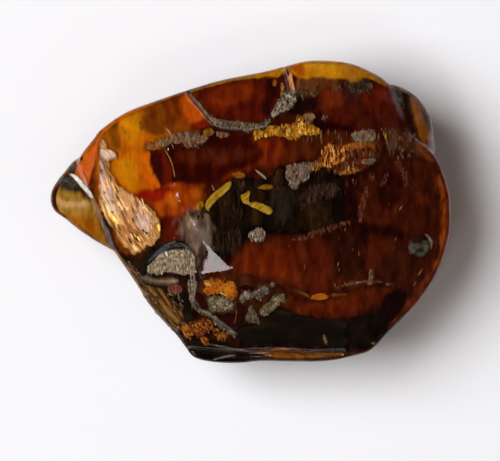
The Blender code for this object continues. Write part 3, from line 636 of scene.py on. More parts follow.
# clouds, each laid over the ones before: two colours that the eye sees from above and that
# mottle into each other, how soft its edge is and how deep it lies in mm, and its outline
clouds = [
    ("#34110a #4e1d0c", 0.8, 1.8, "-30,-30 30,-30 30,30 -30,30"),
    # left face
    ("#6a2c00 #8e4600", 0.7, 1.6, "-21,9 -17,13.4 -12,15.4 -8,16.4 -5.4,13 -5.2,10.6 -8,9 -10,3 "
     "-11,-2 -14,-5.4 -17,-4.4 -21,3"),
    ("#a05200 #c47000", 0.6, 1.1, "-20.4,10 -17.4,12.8 -15.2,13.8 -12.6,14.2 -11,12.8 -10.4,10.8 "
     "-10.1,9.6 -11.6,9.2 -13.2,8.6 -13.2,7 -12.8,5.4 -11.8,3.2 -12.6,2.6 -14.6,1.6 -17,2.4 "
     "-19,4.4"),
    ("#5c2a00 #7c4204", 0.5, 1.2, "-13.4,13.2 -11.4,13.4 -10.8,11.8 -10.9,9.8 -12.2,9.4 -13.4,10 "
     "-13.8,11.6"),
    ("#6c3a04 #8a5410", 0.35, 1.1, "-17.6,11.4 -16.8,11.2 -16.5,9.4 -16.7,8.2 -17.5,8.2 -18,9.8"),
    ("#c87c00 #dc9410", 0.5, 0.9, "-16.6,6.6 -15.4,6.8 -14.5,5.4 -14.4,3.4 -15,2.4 -16.2,3.2 "
     "-17.1,5"),
    ("#c07400 #d89010", 0.5, 0.9, "-16,12.2 -14.6,12.4 -14,10.6 -14.2,9 -15.4,8.6 -16.2,10"),
    ("#642600 #8a3e00", 0.6, 1.4, "-11.2,15.4 -8,16 -6.9,13.9 -5.8,12.3 -5.4,11.4 -6.4,10.6 -8.6,10.8 "
     "-10.4,10.8 -11,12.4"),
    ("#b24c04 #d46208", 0.4, 0.9, "-8.7,14.9 -7.7,14.7 -6.7,13.3 -5.8,12.2 -6.1,11.5 -7.2,11 -8,11.6 "
     "-8.5,13"),
    ("#6a1800 #8a2a00", 0.3, 0.9, "-7.2,11.1 -6,11.6 -5.3,11.7 -4.9,10.9 -5.8,10.3 -7.2,10.3"),
    ("#7e2a06 #a8480e", 0.5, 1.2, "-14.2,2.6 -12.2,3.3 -10.8,3.6 -8,3.9 -6,3.5 -5.8,2.2 -6.2,0.9 "
     "-7.2,0.2 -8.4,-0.4 -10,-1.2 -11,-1.6 -12,0 -13.4,1.2 -14.8,1.8"),
    ("#701400 #8e1e00", 0.35, 0.9, "-14.2,2.5 -12.6,3 -11.2,3.2 -9.6,3 -10.2,2 -11.4,1.4 -12.8,1.3 "
     "-14.2,1.7"),
    ("#b4500a #cc6a14", 0.4, 0.8, "-10.4,2.4 -9.6,2.2 -9.2,1.2 -9.8,0.6 -10.6,1.4"),
    ("#a8500c #c06418", 0.35, 0.8, "-7.4,2.9 -6.6,3 -6.3,2 -6.9,1.6 -7.5,2.2"),
    ("#441004 #5c1c08", 0.4, 1.2, "-11.2,-0.8 -9.4,-0.6 -8.6,-2 -9,-3.6 -10.8,-4 -11.4,-2.6"),
    # top
    ("#2c0a03 #42140a", 0.35, 1.7, "-12.9,7.4 -10.6,8 -9.8,8.6 -8.6,8.4 -6.4,8.8 -5,9.8 -2.8,10.2 "
     "0.2,9.6 1.6,8.8 2.2,7.4 1.2,6.4 -0.6,5.6 -2.2,4.9 -3.4,4 -4.6,3.6 -6.6,3.5 -9.5,3.7 -11.8,3.4 "
     "-12.4,5"),
    ("#42160a #582210", 0.6, 1.7, "-9.2,7.8 -6,8 -2,8.2 0.6,7.6 -0.8,6.6 -4,6 -8.6,6.4"),
    ("#541404 #681c04", 0.3, 0.8, "-12.6,7.6 -10.6,7.8 -10.2,6.8 -9.8,5.6 -9.7,4.2 -10.2,3.6 "
     "-11.5,3.4 -12.6,5.2"),
    ("#2c0402 #3e0a04", 0.5, 0.5, "-13.2,7.5 -11.4,7.6 -11.2,6.4 -10.9,5 -10.9,3.8 -11.6,3 -13.4,5"),
    ("#e46c00 #f07e08", 0.4, 0.3, "-13.7,7.2 -13.1,7 -13,6.2 -12.6,5 -12,3.9 -11.9,3.3 -12.6,3 "
     "-13.3,3.8 -13.8,5.2"),
    ("#f07600 #ff9010", 0.3, 0.3, "-13.4,7.5 -12.85,7.45 -12.95,6.3 -12.45,5 -11.55,3.35 -12,3.2 "
     "-12.7,4.4 -13.3,5.8"),
    ("#5c1a02 #8c3404", 0.5, 1.2, "0.2,9.4 2.6,9.9 4,9.8 4.5,7.8 4.2,6.1 2.4,5.7 0.8,5.4 -1.6,4.8 "
     "-3.4,3.9 -3,4.9 -0.6,5.7 0.8,6.4 1.8,7.4 1.2,8.6"),
    ("#46100a #661c06", 0.4, 1.8, "-7.4,16 -4.6,17 -1.6,17.6 0.6,17.8 2.4,17.6 4.2,17 4.4,15.2 "
     "3.4,13.8 2.8,12.2 1.6,11.4 -0.4,11 -3,11.2 -4.6,11.8 -5.6,13.2"),
    ("#601c04 #7c2c06", 0.5, 1.4, "-5.4,15.4 -2,16.2 0.4,16.4 0.8,14.8 -1.4,13.6 -4.4,13.6"),
    ("#260603 #360a04", 0.5, 1.4, "2,16.8 3.7,16.5 3.9,15.2 3.1,13.8 2.5,12.2 1.4,12.4 1.8,14.6"),
    ("#3c0f06 #561c0a", 0.5, 1.8, "5.4,12.4 6.2,14.2 8,15 9.2,16 12,16.6 13.4,16.8 16,16.6 17.8,16 "
     "19,14.2 20.2,12.4 21.2,9.8 19.6,7.6 17.8,8.6 16.2,9.6 13,10 10.4,9.8 8.6,10.2 8,11.4 7,12.4"),
    ("#5c200c #742c10", 0.6, 1.3, "9.4,15.4 11.8,15.8 11.6,13.2 9.4,13"),
    ("#541406 #70220a", 0.6, 1.3, "14.2,15.6 17.2,16 18.4,14 18,12 15.8,12"),
    ("#140504 #240a06", 0.35, 1, "4.8,12.5 5.8,13.7 7.2,14.4 8.3,14.4 8.3,12.9 7.2,12.6 6,12.2"),
    ("#1e0805 #300e08", 0.35, 1, "8.3,12.4 8.9,12.8 9.4,11.6 11.4,11.2 13.4,10.6 12.6,10.2 9.8,10.3 "
     "8.7,10.9"),
    ("#54280f #70401e", 0.45, 0.9, "5.6,15 6,17.2 7.4,17.4 8.6,17.8 10,17.6 11.4,16.9 11.4,15.9 "
     "9.6,15.6 8.8,14.9 7.6,14.5"),
    ("#2a1a10 #40301e", 0.4, 0.9, "12.6,16.7 14.6,16.9 15,15.6 13.6,15.2 12.8,15.6"),
    ("#a86e0a #d49816", 0.3, 0.5, "-7.8,15.3 -5,15.9 -2,16.6 0.6,16.9 2.4,17.1 3.9,17.2 4.9,19.4 1,19 "
     "-4,17.9 -8.4,16.6"),
    ("#cc8408 #f0b01a", 0.3, 0.5, "5.4,17.6 6.4,17.2 7.2,17 8.2,17.2 9.4,17.2 10.6,17 12.2,16.8 "
     "13.2,16.5 14.2,16.9 15.2,16.9 16.6,16.4 17.6,16.2 18.6,17 15.8,19.2 12.6,20.2 8,20.4 "
     "4.8,19.8"),
    ("#c8880e #e6b02c", 0.4, 0.5, "6.6,19.2 9,19.6 12,19.2 14.6,18.4 13,17.9 10,18.5 7.4,18.4"),
    ("#9c4c06 #b8640a", 0.3, 0.6, "4.7,18.9 6,19.2 7,18.6 7.2,17.5 6.2,17.1 5.6,17.9"),
    ("#401606 #602a10", 0.4, 1, "4.2,9.6 6.6,9.9 9.2,10.1 12.8,10.2 13.4,9.2 12.2,8.2 10.6,8.4 "
     "9.2,7.8 8.4,6.7 6,6.2 4.5,6.2 4.2,7.8"),
    ("#6a2e10 #8c481c", 0.4, 0.6, "9,7 10.4,8.4 12.6,8.6 16.4,9.2 16.6,7.4 15,5.6 12.6,4.5 10.6,5.2 "
     "8.8,5.6"),
    ("#4a281a #6a4634", 0.5, 0.4, "17.6,10.4 20.6,10.2 21.8,8.6 21.6,7.2 20.2,7 18.8,7.6 18,7.2 "
     "17.6,8.8"),
    # right corner lobe
    ("#2e1a0c #4a2e14", 0.3, 0.7, "17.8,17.2 21,16.6 24,14 24.8,9 23.2,7.6 22.4,11 21.6,13.8 "
     "19.8,15.2 18.4,15.6"),
    ("#180a08 #2c1410", 0.3, 0.7, "19,15.8 19.8,15.2 20.6,12.4 21.4,9.6 20.8,9.4 19.6,12.6 "
     "18.8,14.6"),
    ("#78400c #a0641a", 0.35, 0.5, "20.4,14.7 21.3,14.7 22.1,13.4 22.5,11.8 22.9,10.4 23.1,9.2 "
     "22.2,8.6 21.7,9.8 21.2,11 20.9,12.4"),
    ("#6c3210 #8a4a1c", 0.4, 0.6, "21.6,8.9 23.2,9 23.8,7.4 23.4,6.2 22.2,6.8 21.4,7.8"),
    # under and round the wood
    ("#0c0809 #1c1310", 0.4, 1.6, "-7.6,-0.4 -6.2,0.3 -5.2,0.2 -4.6,1.2 -3.5,2.6 -2.4,3.8 -1.8,4.5 "
     "-0.4,4.5 1.6,4.2 2.8,4.6 3.6,5.6 4.4,6 4.8,4.8 5.2,3.4 6.4,3.3 7.6,4.3 8.3,5.3 9.6,5.8 10.9,5.4 "
     "13.4,4.9 15.6,4.6 15.4,2.4 14,0.8 13.8,-0.8 12.2,-1.4 10.4,-2 8.2,-2.8 5.6,-3.1 3,-3 0.6,-3.4 "
     "-0.4,-4.2 -1,-5.4 -2.2,-6.6 -4.2,-6.6 -5.2,-5.2 -6,-4 -7.2,-1.8"),
    ("#1a0705 #300e08", 0.9, 1.2, "12,4.8 15.6,4.6 15.8,2.4 15,0.4 15.6,-2 13.8,-3 11.4,-1.6 "
     "11.6,1.6"),
    # painted reflection: a pale sheen on the left shoulder, and a blue-grey tongue of it over the
    # wood, where the polish mirrors the light
    ("#66524a #988478", 1, 0.35, "-7.7,-0.3 -6,-0.1 -5,-1.6 -5.3,-3.4 -6.2,-5.4 -6.9,-8.2 -7.4,-7 "
     "-7.9,-5 -8.4,-3.4 -8.7,-1.8"),
    ("#564c48 #7c706a", 0.9, 0.35, "-6.3,-0.6 -5.2,-1 -4.2,-2.8 -4.8,-4.8 -5.8,-4.2 -6.2,-2.4"),
    ("#241d19 #372d28", 0.9, 0.5, "2.8,2.6 4.4,3.4 5.6,2.6 5.8,0.2 4.6,-1.8 3,-1.6 2.6,0.6"),
    # right body
    ("#38130a #52200d", 0.8, 2.2, "13.6,4.4 16,5 18,7 19.6,7.2 21.6,7 23,5.6 24,3.6 24.6,1 24.4,-2 "
     "23.6,-5 22,-8 20,-9.8 18,-9.6 15.6,-9 12,-9.4 9.6,-7 9,-4 13,-1.6 13.6,1"),
    ("#441609 #5e2410", 0.8, 2, "-2.8,-6.4 -1,-4.6 0.4,-3.6 3,-3.6 6,-3.8 9,-3.2 10.2,-5 10.6,-8 "
     "10,-10 8,-10.4 5,-10 3,-9.4 0,-8.6 -2.4,-7.8"),
    ("#561a06 #742c0c", 0.7, 1.6, "-1,-4.8 1.6,-4.4 4.6,-4.8 5.4,-6.6 4,-8.4 0.6,-8 -1.8,-6.4"),
    ("#26100a #38180e", 0.7, 1.8, "10,-2.4 13.2,-1.8 14.6,-3 14.6,-6.6 13.4,-8.6 11.2,-8.6 10.4,-6"),
    ("#1c0a06 #2e120a", 0.6, 1.8, "11.6,-0.8 13.6,-1.1 15.6,-1.6 18,-2.1 19.8,-2.9 18.8,-3.7 "
     "16.4,-3.3 14,-2.9 12,-2.2"),
    ("#2c0d07 #40160c", 0.7, 2, "15.6,4.4 18.2,5.4 19.4,4 18.8,0.8 17,0.2 15.6,1.6"),
    ("#54200e #6a2c12", 0.5, 1.2, "21.2,2 22.8,2.1 23,0.7 21.4,0.6"),
    ("#5a2410 #6e3018", 0.4, 1.2, "18.4,0.9 19.6,0.9 19.7,-0.2 18.5,-0.2"),
    # painted light: the orange of light shining out through the thin right rim
    ("#843a10 #b85a20", 0.7, 0.5, "24.3,4.4 26.4,3.6 27,-2 26.4,-5.6 24.6,-8.4 23.4,-7.6 24.4,-4.6 "
     "24.8,-0.6"),
    ("#5e2614 #843e22", 0.6, 0.6, "23.4,-7.6 24.6,-8.4 22,-12.6 17.4,-17.4 15.8,-17 18.6,-13.6 "
     "20.8,-10.6 22,-8.6"),
    # front
    ("#4e190a #722c0c", 0.5, 1.1, "3.6,-11.6 5.2,-10.7 7.6,-11.4 10.4,-11.1 12.4,-10.4 14,-9.8 "
     "16.4,-9.4 18.4,-9.7 17.2,-11.1 15.2,-12.3 13.2,-13.3 11,-13.8 8,-13.5 6.2,-13.2 5,-12.7"),
    ("#160806 #260f0a", 0.4, 1, "17,-10.9 18.8,-10 20,-10.6 19.7,-12.2 18.4,-13.9 16.8,-13.2"),
    ("#3c1a0c #5a2e16", 0.5, 0.9, "-5.6,-8.4 -2,-7.7 1,-8.4 4,-9.4 4.8,-10.6 3,-10.6 2.4,-12.2 "
     "0.8,-13.2 -1.4,-14.4 -5,-13.6 -7,-11.4 -7,-9.2"),
    ("#100c0a #221812", 0.8, 0.5, "-1.6,-17.4 -1.8,-15 -0.8,-14.5 0.8,-14.5 1.6,-13.6 2.4,-13.4 "
     "3.4,-12.5 4.4,-12.5 6,-13.2 9,-13.7 12.2,-13.8 14,-13.3 15,-12.9 16.4,-12.6 17.6,-13.6 18,-14.8 "
     "17,-16.4 15.2,-17.9 12.6,-18.1 8,-17.8 2,-17.6"),
    ("#6a3c14 #96602a", 0.25, 0.5, "1,-17.9 5,-17.7 9,-18.1 12.4,-18.3 14.6,-18 14,-18.9 10,-19.4 "
     "5,-19.2 0.6,-18.8"),
    ("#0f0a08 #201510", 0.3, 0.7, "-8.8,-16.6 -7.8,-17.6 -6,-18.2 -3,-18.6 3,-18.9 6,-19.2 4,-20.4 "
     "-4,-20.4 -9,-18.8"),
    ("#221206 #3a2210", 0.4, 0.8, "-8.9,-14.2 -6,-13.8 -4.6,-14.4 -2.6,-15.6 -2,-17 -4.6,-17.6 "
     "-7.4,-17.8 -9.2,-16"),
    # lower left bevel and hollow
    ("#1a120a #32240f", 0.5, 0.8, "-18,-5.6 -16.2,-5.4 -14.6,-6 -13.8,-7.6 -13.8,-8.4 -11,-8.9 "
     "-9,-9.4 -7.4,-11.6 -7.2,-13.4 -8.8,-14.4 -9.6,-16.4 -12.8,-13.4 -15.2,-10 -17,-7.4"),
    ("#54391a #7a5628", 0.35, 0.5, "-14.2,-9.6 -12.7,-10 -10.6,-10.8 -9.2,-12.6 -8.8,-14.4 -9.6,-15.8 "
     "-12.4,-12.9 -14.4,-10.4"),
    ("#14100c #241c14", 0.3, 0.8, "-14.2,-6.4 -12.4,-4.6 -10.6,-3.8 -8.6,-3.6 -7.2,-4.8 -6.8,-7 -7,-9 "
     "-7.8,-9.6 -9,-8.3 -13,-8.3"),
    # painted highlight: a soft grey band along the ridge under the hollow
    ("#74624e #a48e74", 0.3, 0.25, "-14.2,-8.1 -13.2,-8.4 -11,-8.6 -9.4,-8.6 -9,-8.9 -9.4,-9.2 "
     "-11,-9.3 -13,-9.1 -14.2,-8.6"),
    ("#5a4630 #7c6448", 0.5, 0.4, "-17.2,-6.2 -15.8,-6.6 -14.6,-8.4 -14,-10.2 -12.4,-12.4 -13,-13.2 "
     "-15.4,-10.4 -17,-8"),
    # nose
    ("#82601a #ac8438", 0.6, 0.8, "-27,4 -26.8,0 -24,-1.6 -21.6,-3.2 -18.8,-5.4 -18,-4.8 -19.2,-1 "
     "-20,1 -21.2,2 -23,3"),
    # painted highlight: the pale stroke where the nose's crest mirrors the window
    ("#c89c60 #f0cc98", 0.35, 0.3, "-25.3,2.5 -24.8,1.8 -24,1.4 -22.8,1.2 -21.2,1.2 -21.2,0.8 "
     "-22.8,0.6 -24.2,0.6 -25.1,1.2 -25.6,2"),
    ("#844a0a #a26414", 0.6, 0.8, "-24.4,-0.8 -21.6,-0.6 -19.8,-1.2 -18.9,-3.6 -19.2,-5.2 "
     "-21.8,-3.6"),
    ("#3a3024 #5e5042", 0.4, 0.4, "-26,4.2 -24.4,2.9 -22.8,2.8 -21,3.4 -21.8,4.4 -22.6,5.6 -22.6,7.6 "
     "-24.6,6"),
    ("#c8621c #ea8038", 0.35, 0.35, "-19.4,9.8 -20.9,8.7 -22.2,7.2 -22.8,5.4 -22,4.2 -20.9,3.2 "
     "-20.2,5 -19.6,7"),
]
# what the sides show, by the angle round the lump: 0 is right, 90 is the back
sideLooks = {0: "#8a3a14", 30: "#4e2a12", 55: "#7a4a12", 75: "#a87412", 95: "#8a4c0c", 118: "#743004",
             142: "#985008", 160: "#a8640c", 180: "#946024", 200: "#7a5820", 225: "#38260f",
             250: "#241710", 275: "#33190c", 300: "#3e1a0c", 330: "#6a2c14", 360: "#8a3a14"}


def underResin(look, depth):
    # the colour that a cloud needs for the eye to see this one through the resin over it
    seen = np.maximum(look - mass["sheen"], 0.0)
    passed = np.exp(-mass["path"] * depth[:, None] * np.array(mass["loss"]))
    base = seen / (mass["light"] * passed)
    base /= np.maximum(1.0, base.max(axis=1, keepdims=True) / 0.97)
    return np.maximum(base, 0.003)


def layered(places, sizes, share):
    # coarse noise and a share of fine noise, with their sizes along X, Y and Z
    coarse, fine = sizes
    return np.array([noise.noise(Vector(a)) + share * noise.noise(Vector(b))
                     for a, b in zip(places / coarse, places / fine)])


def linearLook(code):
    return np.array(hexLinear(code)[:3])


def paintClouds(mesh):
    total = len(mesh.vertices)
    places, normals = np.empty(total * 3), np.empty(total * 3)
    mesh.vertices.foreach_get("co", places)
    mesh.vertices.foreach_get("normal", normals)
    places = places.reshape(-1, 3) / mm
    upward = normals.reshape(-1, 3)[:, 2]
    plan = places[:, :2]
    level = np.column_stack([plan, np.ones(total)])
    tears = layered(level, mass["tearSizes"], 0.6)
    mottle = np.clip(0.5 + layered(level, mass["mottleSizes"], 0.5), 0.0, 1.0)[:, None]
    look, depth = np.zeros((total, 3)), np.full(total, mass["depth"])
    for looks, soft, deep, outline in clouds:
        ring = closedCurve(outline, 150)
        reach = 2.0 * soft + 0.4
        near = np.all((plan > ring.min(axis=0) - reach) & (plan < ring.max(axis=0) + reach),
                      axis=1)
        away = ringDistance(ring, plan[near])
        away[~insideRing(ring, plan[near])] *= -1
        away += mass["tear"] * soft * soft * tears[near]
        share = ease(np.clip(0.5 + away / (2 * soft), 0, 1))
        first, last = [linearLook(code) for code in looks.split()]
        colour = first + (last - first) * mottle[near]
        look[near] += (colour - look[near]) * share[:, None]
        depth[near] += (deep - depth[near]) * share
    # sides: looks by angle, laid in drawn-out flows and darker low down
    angles = np.degrees(np.arctan2(plan[:, 1], plan[:, 0] - mainCentre[0])) % 360
    tones = np.array([linearLook(code) for code in sideLooks.values()])
    side = np.stack([np.interp(angles, list(sideLooks), tones[:, k]) for k in range(3)], axis=1)
    flows = mass["flow"] * layered(places, mass["flowSizes"], 0.6)
    side *= np.clip(1.0 + flows, 0.25, 2.2)[:, None]
    side *= np.clip(0.35 + places[:, 2] / 14.0, 0.4, 1.0)[:, None]
    look = side + (look - side) * np.clip((upward + 0.1) / 0.4, 0, 1)[:, None]
    return look, np.where(upward > mass["level"], depth, mass["sideDepth"]), upward


def cloudPiece():
    forms = []
    for (outline, top, under), share, roof in zip(lumpForms, mass["inset"], mass["roof"]):
        form = sculpt(outline, lambda x, y, s: top(x, y, s) - roof * (1 - s),
                      lambda x, y, s: under(x, y, s) + mass["base"], mass["divisions"])
        centre = Vector((*outline.centre, 0)) * mm
        for vert in form.verts:
            vert.co.x = centre.x + (vert.co.x - centre.x) * share
            vert.co.y = centre.y + (vert.co.y - centre.y) * share
        forms.append(form)
    piece = joinForms("cloudyResinAndPaintedLight", forms, mass["voxel"], mass["smoothing"], finishes["cloud"])
    mesh = piece.data
    look, depth, upward = paintClouds(mesh)
    places = np.empty(len(depth) * 3)
    mesh.vertices.foreach_get("co", places)
    places = places.reshape(-1, 3) / mm
    # each place goes to the depth of its cloud under the polished face
    for index in np.nonzero(upward > mass["level"])[0]:
        x, y, z = places[index]
        hit = amberTop(x, y)
        if hit:
            deep = max(mass["leastDepth"], depth[index] + wave(mass["dive"], x, y, z))
            places[index, 2] += (hit.z - deep - z) * min(1.0, (upward[index] - mass["level"]) / 0.4)
    mesh.vertices.foreach_set("co", (places * mm).ravel())
    mesh.update()
    paint = mesh.attributes.new("cloud", "FLOAT_COLOR", "POINT")
    base = np.concatenate([underResin(look, depth), np.ones((len(depth), 1))], axis=1)
    paint.data.foreach_set("color", base.ravel())
    keep(piece)


print("cloudy resin")
cloudPiece()


# What lies in the amber, and the painted highlights, reflections and shadows laid in among it

# A piece has bodies that lie at its depth under the polished face and are as thick as it says,
# and may have grains on them. Its ovals are x,y,length,width,turn and its ribbons are a width
# and a route. A loose one is grains alone, sprinkled inside its outlines
pieceDefaults = {
    "slot": "amber", "outlines": [], "ovals": "", "ribbons": [], "loose": False,
    "ragged": 0.12,            # how far an outline is torn
    "lumps": (0.06, 0.8),      # height and length of the lumps on a body
    "edge": 0.35,              # how far in a body's edge is rounded
    "dip": 0.1,                # how far its edge lies under its middle
    # some also have ridges: their lie in degrees, length, width and height
    "deepest": 0.42, "thickest": 0.4,     # shares of the resin that its depth and body may take
    "thinnest": 0.03,
}
# grains: their number, size, lie in degrees and its spread, and how deep some sink
crumbDefaults = {"wide": 0.24, "long": 0.8, "turn": 90, "swing": 24, "sink": 0.0}
grain = {
    "sizes": (0.55, 1.25),     # the least and the most, as shares of the size of the pile
    "knocks": (-0.28, 0.22),   # how far its corners are knocked in or stand out
    "flatness": 0.85,
}
# how far outlines are divided, and the size of the triangles in them
division = {"spacing": 0.17, "least": 28, "most": 320, "gaps": (0.11, 0.5), "triangles": 900,
            "rowShare": 0.87, "shift": (0.12, 0.1)}
chips = ((1.1, 1.0), (2.7, 0.6))     # how many to a millimetre, and how strong


def turned(u, v, degrees):
    # a step turned about Z
    c, s = math.cos(math.radians(degrees)), math.sin(math.radians(degrees))
    return u * c - v * s, u * s + v * c


def sideways(along):
    # unit steps square to a route
    square = np.stack([-along[:, 1], along[:, 0]], axis=1)
    return square / (np.hypot(square[:, 0], square[:, 1])[:, None] + 1e-9)


def rings(spec):
    # closed outlines of a piece: drawn ones, ovals, and ribbons along routes
    found = []
    for outline in spec["outlines"]:
        chords = np.array(drawn(outline))
        chords = chords - np.roll(chords, 1, axis=0)
        length = np.hypot(chords[:, 0], chords[:, 1]).sum()
        count = min(division["most"], max(division["least"], length / division["spacing"]))
        found.append(closedCurve(outline, int(count)))
    for x, y, long, wide, turn in drawn(spec["ovals"]):
        around = np.linspace(0, math.tau, 26, endpoint=False)
        u, v = turned(long / 2 * np.cos(around), wide / 2 * np.sin(around), turn)
        found.append(np.stack([x + u, y + v], axis=1))
    for width, route in spec["ribbons"]:
        middle = openCurve(route)
        t = np.linspace(0, 1, len(middle))
        half = (width / 2 * np.minimum(1.0, np.sqrt(4 * t * (1 - t)) + 0.12))[:, None]
        step = sideways(np.gradient(middle, axis=0)) * half
        found.append(np.concatenate([middle + step, (middle - step)[::-1]]))
    return found


def ringArea(ring):
    # by the sum of its corners
    x, y = ring[:, 0], ring[:, 1]
    return abs(np.sum(x * np.roll(y, -1) - np.roll(x, -1) * y)) / 2


def torn(ring, amount, seed):
    # the ring with its edge moved in and out
    nicks = np.array([sum(strength * noise.noise(Vector((x * many, y * many, seed + 7 * number)))
                          for number, (many, strength) in enumerate(chips)) for x, y in ring])
    along = np.roll(ring, -1, axis=0) - np.roll(ring, 1, axis=0)
    return ring - sideways(along) * (amount * nicks)[:, None]


def flatMesh(ring, dice):
    # a plan ring filled with triangles, and which of its points are on the border
    low, high = ring.min(axis=0), ring.max(axis=0)
    fine, coarse = division["gaps"]
    gap = min(coarse, max(fine, math.sqrt(ringArea(ring) / division["triangles"])))
    rise, (alongX, alongY) = division["rowShare"], division["shift"]
    inner = np.array([
        (low[0] + (step + 0.5 * (row % 2) + dice.uniform(-alongX, alongX)) * gap,
         low[1] + (row * rise + dice.uniform(-alongY, alongY)) * gap)
        for row in range(int((high[1] - low[1]) / (gap * rise)) + 1)
        for step in range(int((high[0] - low[0]) / gap) + 1)])
    inner = inner[insideRing(ring, inner)]
    inner = inner[ringDistance(ring, inner) > 0.5 * gap]
    count = len(ring)
    flat, _, faces = delaunay_2d_cdt(
        [Vector(spot) for spot in np.concatenate([ring, inner])],
        [(k, (k + 1) % count) for k in range(count)], [], 1, 1e-5)[:3]
    uses = Counter(tuple(sorted((face[k - 1], face[k]))) for face in faces for k in range(3))
    border = {k for side, total in uses.items() if total == 1 for k in side}
    return np.array([tuple(spot) for spot in flat]), faces, border


def lens(ring, spec, seed):
    # a thin closed body over a plan ring, at a depth under the polished face
    flat, faces, border = flatMesh(ring, random.Random(seed))
    inward = ringDistance(flat[sorted(border)], flat)
    lumps, lumpLength = spec["lumps"]
    verts, unders = [], {}
    for k, spot in enumerate(flat):
        x, y, top, foot = column(*spot)
        edge = math.sqrt(1 - (1 - min(1.0, inward[k] / spec["edge"])) ** 2)
        rise = lumps * (noise.noise(Vector((x, y, seed)) / lumpLength)
                        + 0.5 * noise.noise(Vector((x, y, seed + 3)) / lumpLength * 2.3))
        if "ridges" in spec:
            turn, length, width, height = spec["ridges"]
            along, across = turned(x, y, turn)
            rise += height * noise.noise(Vector((along / length, across / width, seed)))
        high = (top - min(spec["depth"], spec["deepest"] * (top - foot)) + rise * edge
                - spec["dip"] * (1 - edge))
        verts.append((x, y, high))
        if k not in border:
            body = min(spec["thick"], spec["thickest"] * (high - foot)) * edge
            unders[k] = (x, y, high - max(body, spec["thinnest"]))
    numbers = {k: len(verts) + count for count, k in enumerate(unders)}
    verts += unders.values()
    polys = []
    for a, b, c in faces:
        toB, toC = flat[b] - flat[a], flat[c] - flat[a]
        if toB[0] * toC[1] < toB[1] * toC[0]:
            b, c = c, b
        polys += [(a, b, c), tuple(numbers.get(k, k) for k in (c, b, a))]
    return verts, polys


def roughBall():
    # the points and faces that every grain starts from
    ball = bmesh.new()
    bmesh.ops.create_icosphere(ball, subdivisions=1, radius=1.0)
    points = [tuple(vert.co) for vert in ball.verts]
    sides = [tuple(vert.index for vert in face.verts) for face in ball.faces]
    ball.free()
    return points, sides


ballPoints, ballSides = roughBall()


def crumbs(spec, seed):
    # small broken grains sprinkled inside the rings, each a knocked-about ball
    dice = random.Random(seed)
    pile = {**crumbDefaults, "depth": spec["depth"], **spec["crumbs"]}
    verts, polys = [], []
    found = rings(spec)
    areas = [ringArea(ring) for ring in found]
    for ring, area in zip(found, areas):
        low, high = ring.min(axis=0), ring.max(axis=0)
        total = max(3, int(pile["count"] * area / sum(areas)))
        tries = np.array([[dice.uniform(low[0], high[0]), dice.uniform(low[1], high[1])]
                          for _ in range(total * 6)])
        for at in tries[insideRing(ring, tries)][:total]:
            x, y, top, _ = column(*at)
            spin = pile["turn"] + dice.uniform(-1, 1) * pile["swing"]
            wide = 0.5 * pile["wide"] * dice.uniform(*grain["sizes"])
            length = 0.5 * pile["long"] * dice.uniform(*grain["sizes"])
            # the lower of the heights at its ends keeps a grain in the resin
            endX, endY = turned(length, 0, spin)
            tops = [column(x + k * endX, y + k * endY)[2] for k in (-1, 1)]
            level = min(top, *tops) - pile["depth"] - pile["sink"] * dice.random()
            first = len(verts)
            for u, v, w in ballPoints:
                knock = 1.0 + dice.uniform(*grain["knocks"])
                stepX, stepY = turned(u * knock * length, v * knock * wide, spin)
                lift = w * knock * wide * grain["flatness"]
                verts.append((x + stepX, y + stepY, level + lift))
            polys += [tuple(first + k for k in side) for side in ballSides]
    return verts, polys


def inclusion(name, spec, seed):
    spec = {**pieceDefaults, **spec}
    verts, bodies, grains = [], [], []
    if not spec["loose"]:
        for number, ring in enumerate(rings(spec)):
            ringSeed = seed + 13 * number
            more, sides = lens(torn(ring, spec["ragged"], ringSeed), spec, ringSeed)
            bodies += [tuple(len(verts) + k for k in side) for side in sides]
            verts += more
    if "crumbs" in spec:
        more, sides = crumbs(spec, seed)
        grains = [tuple(len(verts) + k for k in side) for side in sides]
        verts += more
    mesh = bpy.data.meshes.new(name)
    mesh.from_pydata([tuple(v * mm for v in vert) for vert in verts], [], bodies + grains)
    mesh.update()
    mesh.materials.append(finishes[spec["finish"]])
    if grains:
        mesh.materials.append(finishes[spec.get("crumbFinish", spec["finish"])])
    mesh.polygons.foreach_set("use_smooth", [True] * len(bodies) + [False] * len(grains))
    mesh.polygons.foreach_set("material_index", [0] * len(bodies) + [1] * len(grains))
    # a piece takes the place of the solid that has its name
    node = re.sub("([A-Z])", r"_\1", name).lower()
    keep(inScene(bpy.data.objects.new(name, mesh)),
         [node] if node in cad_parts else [])


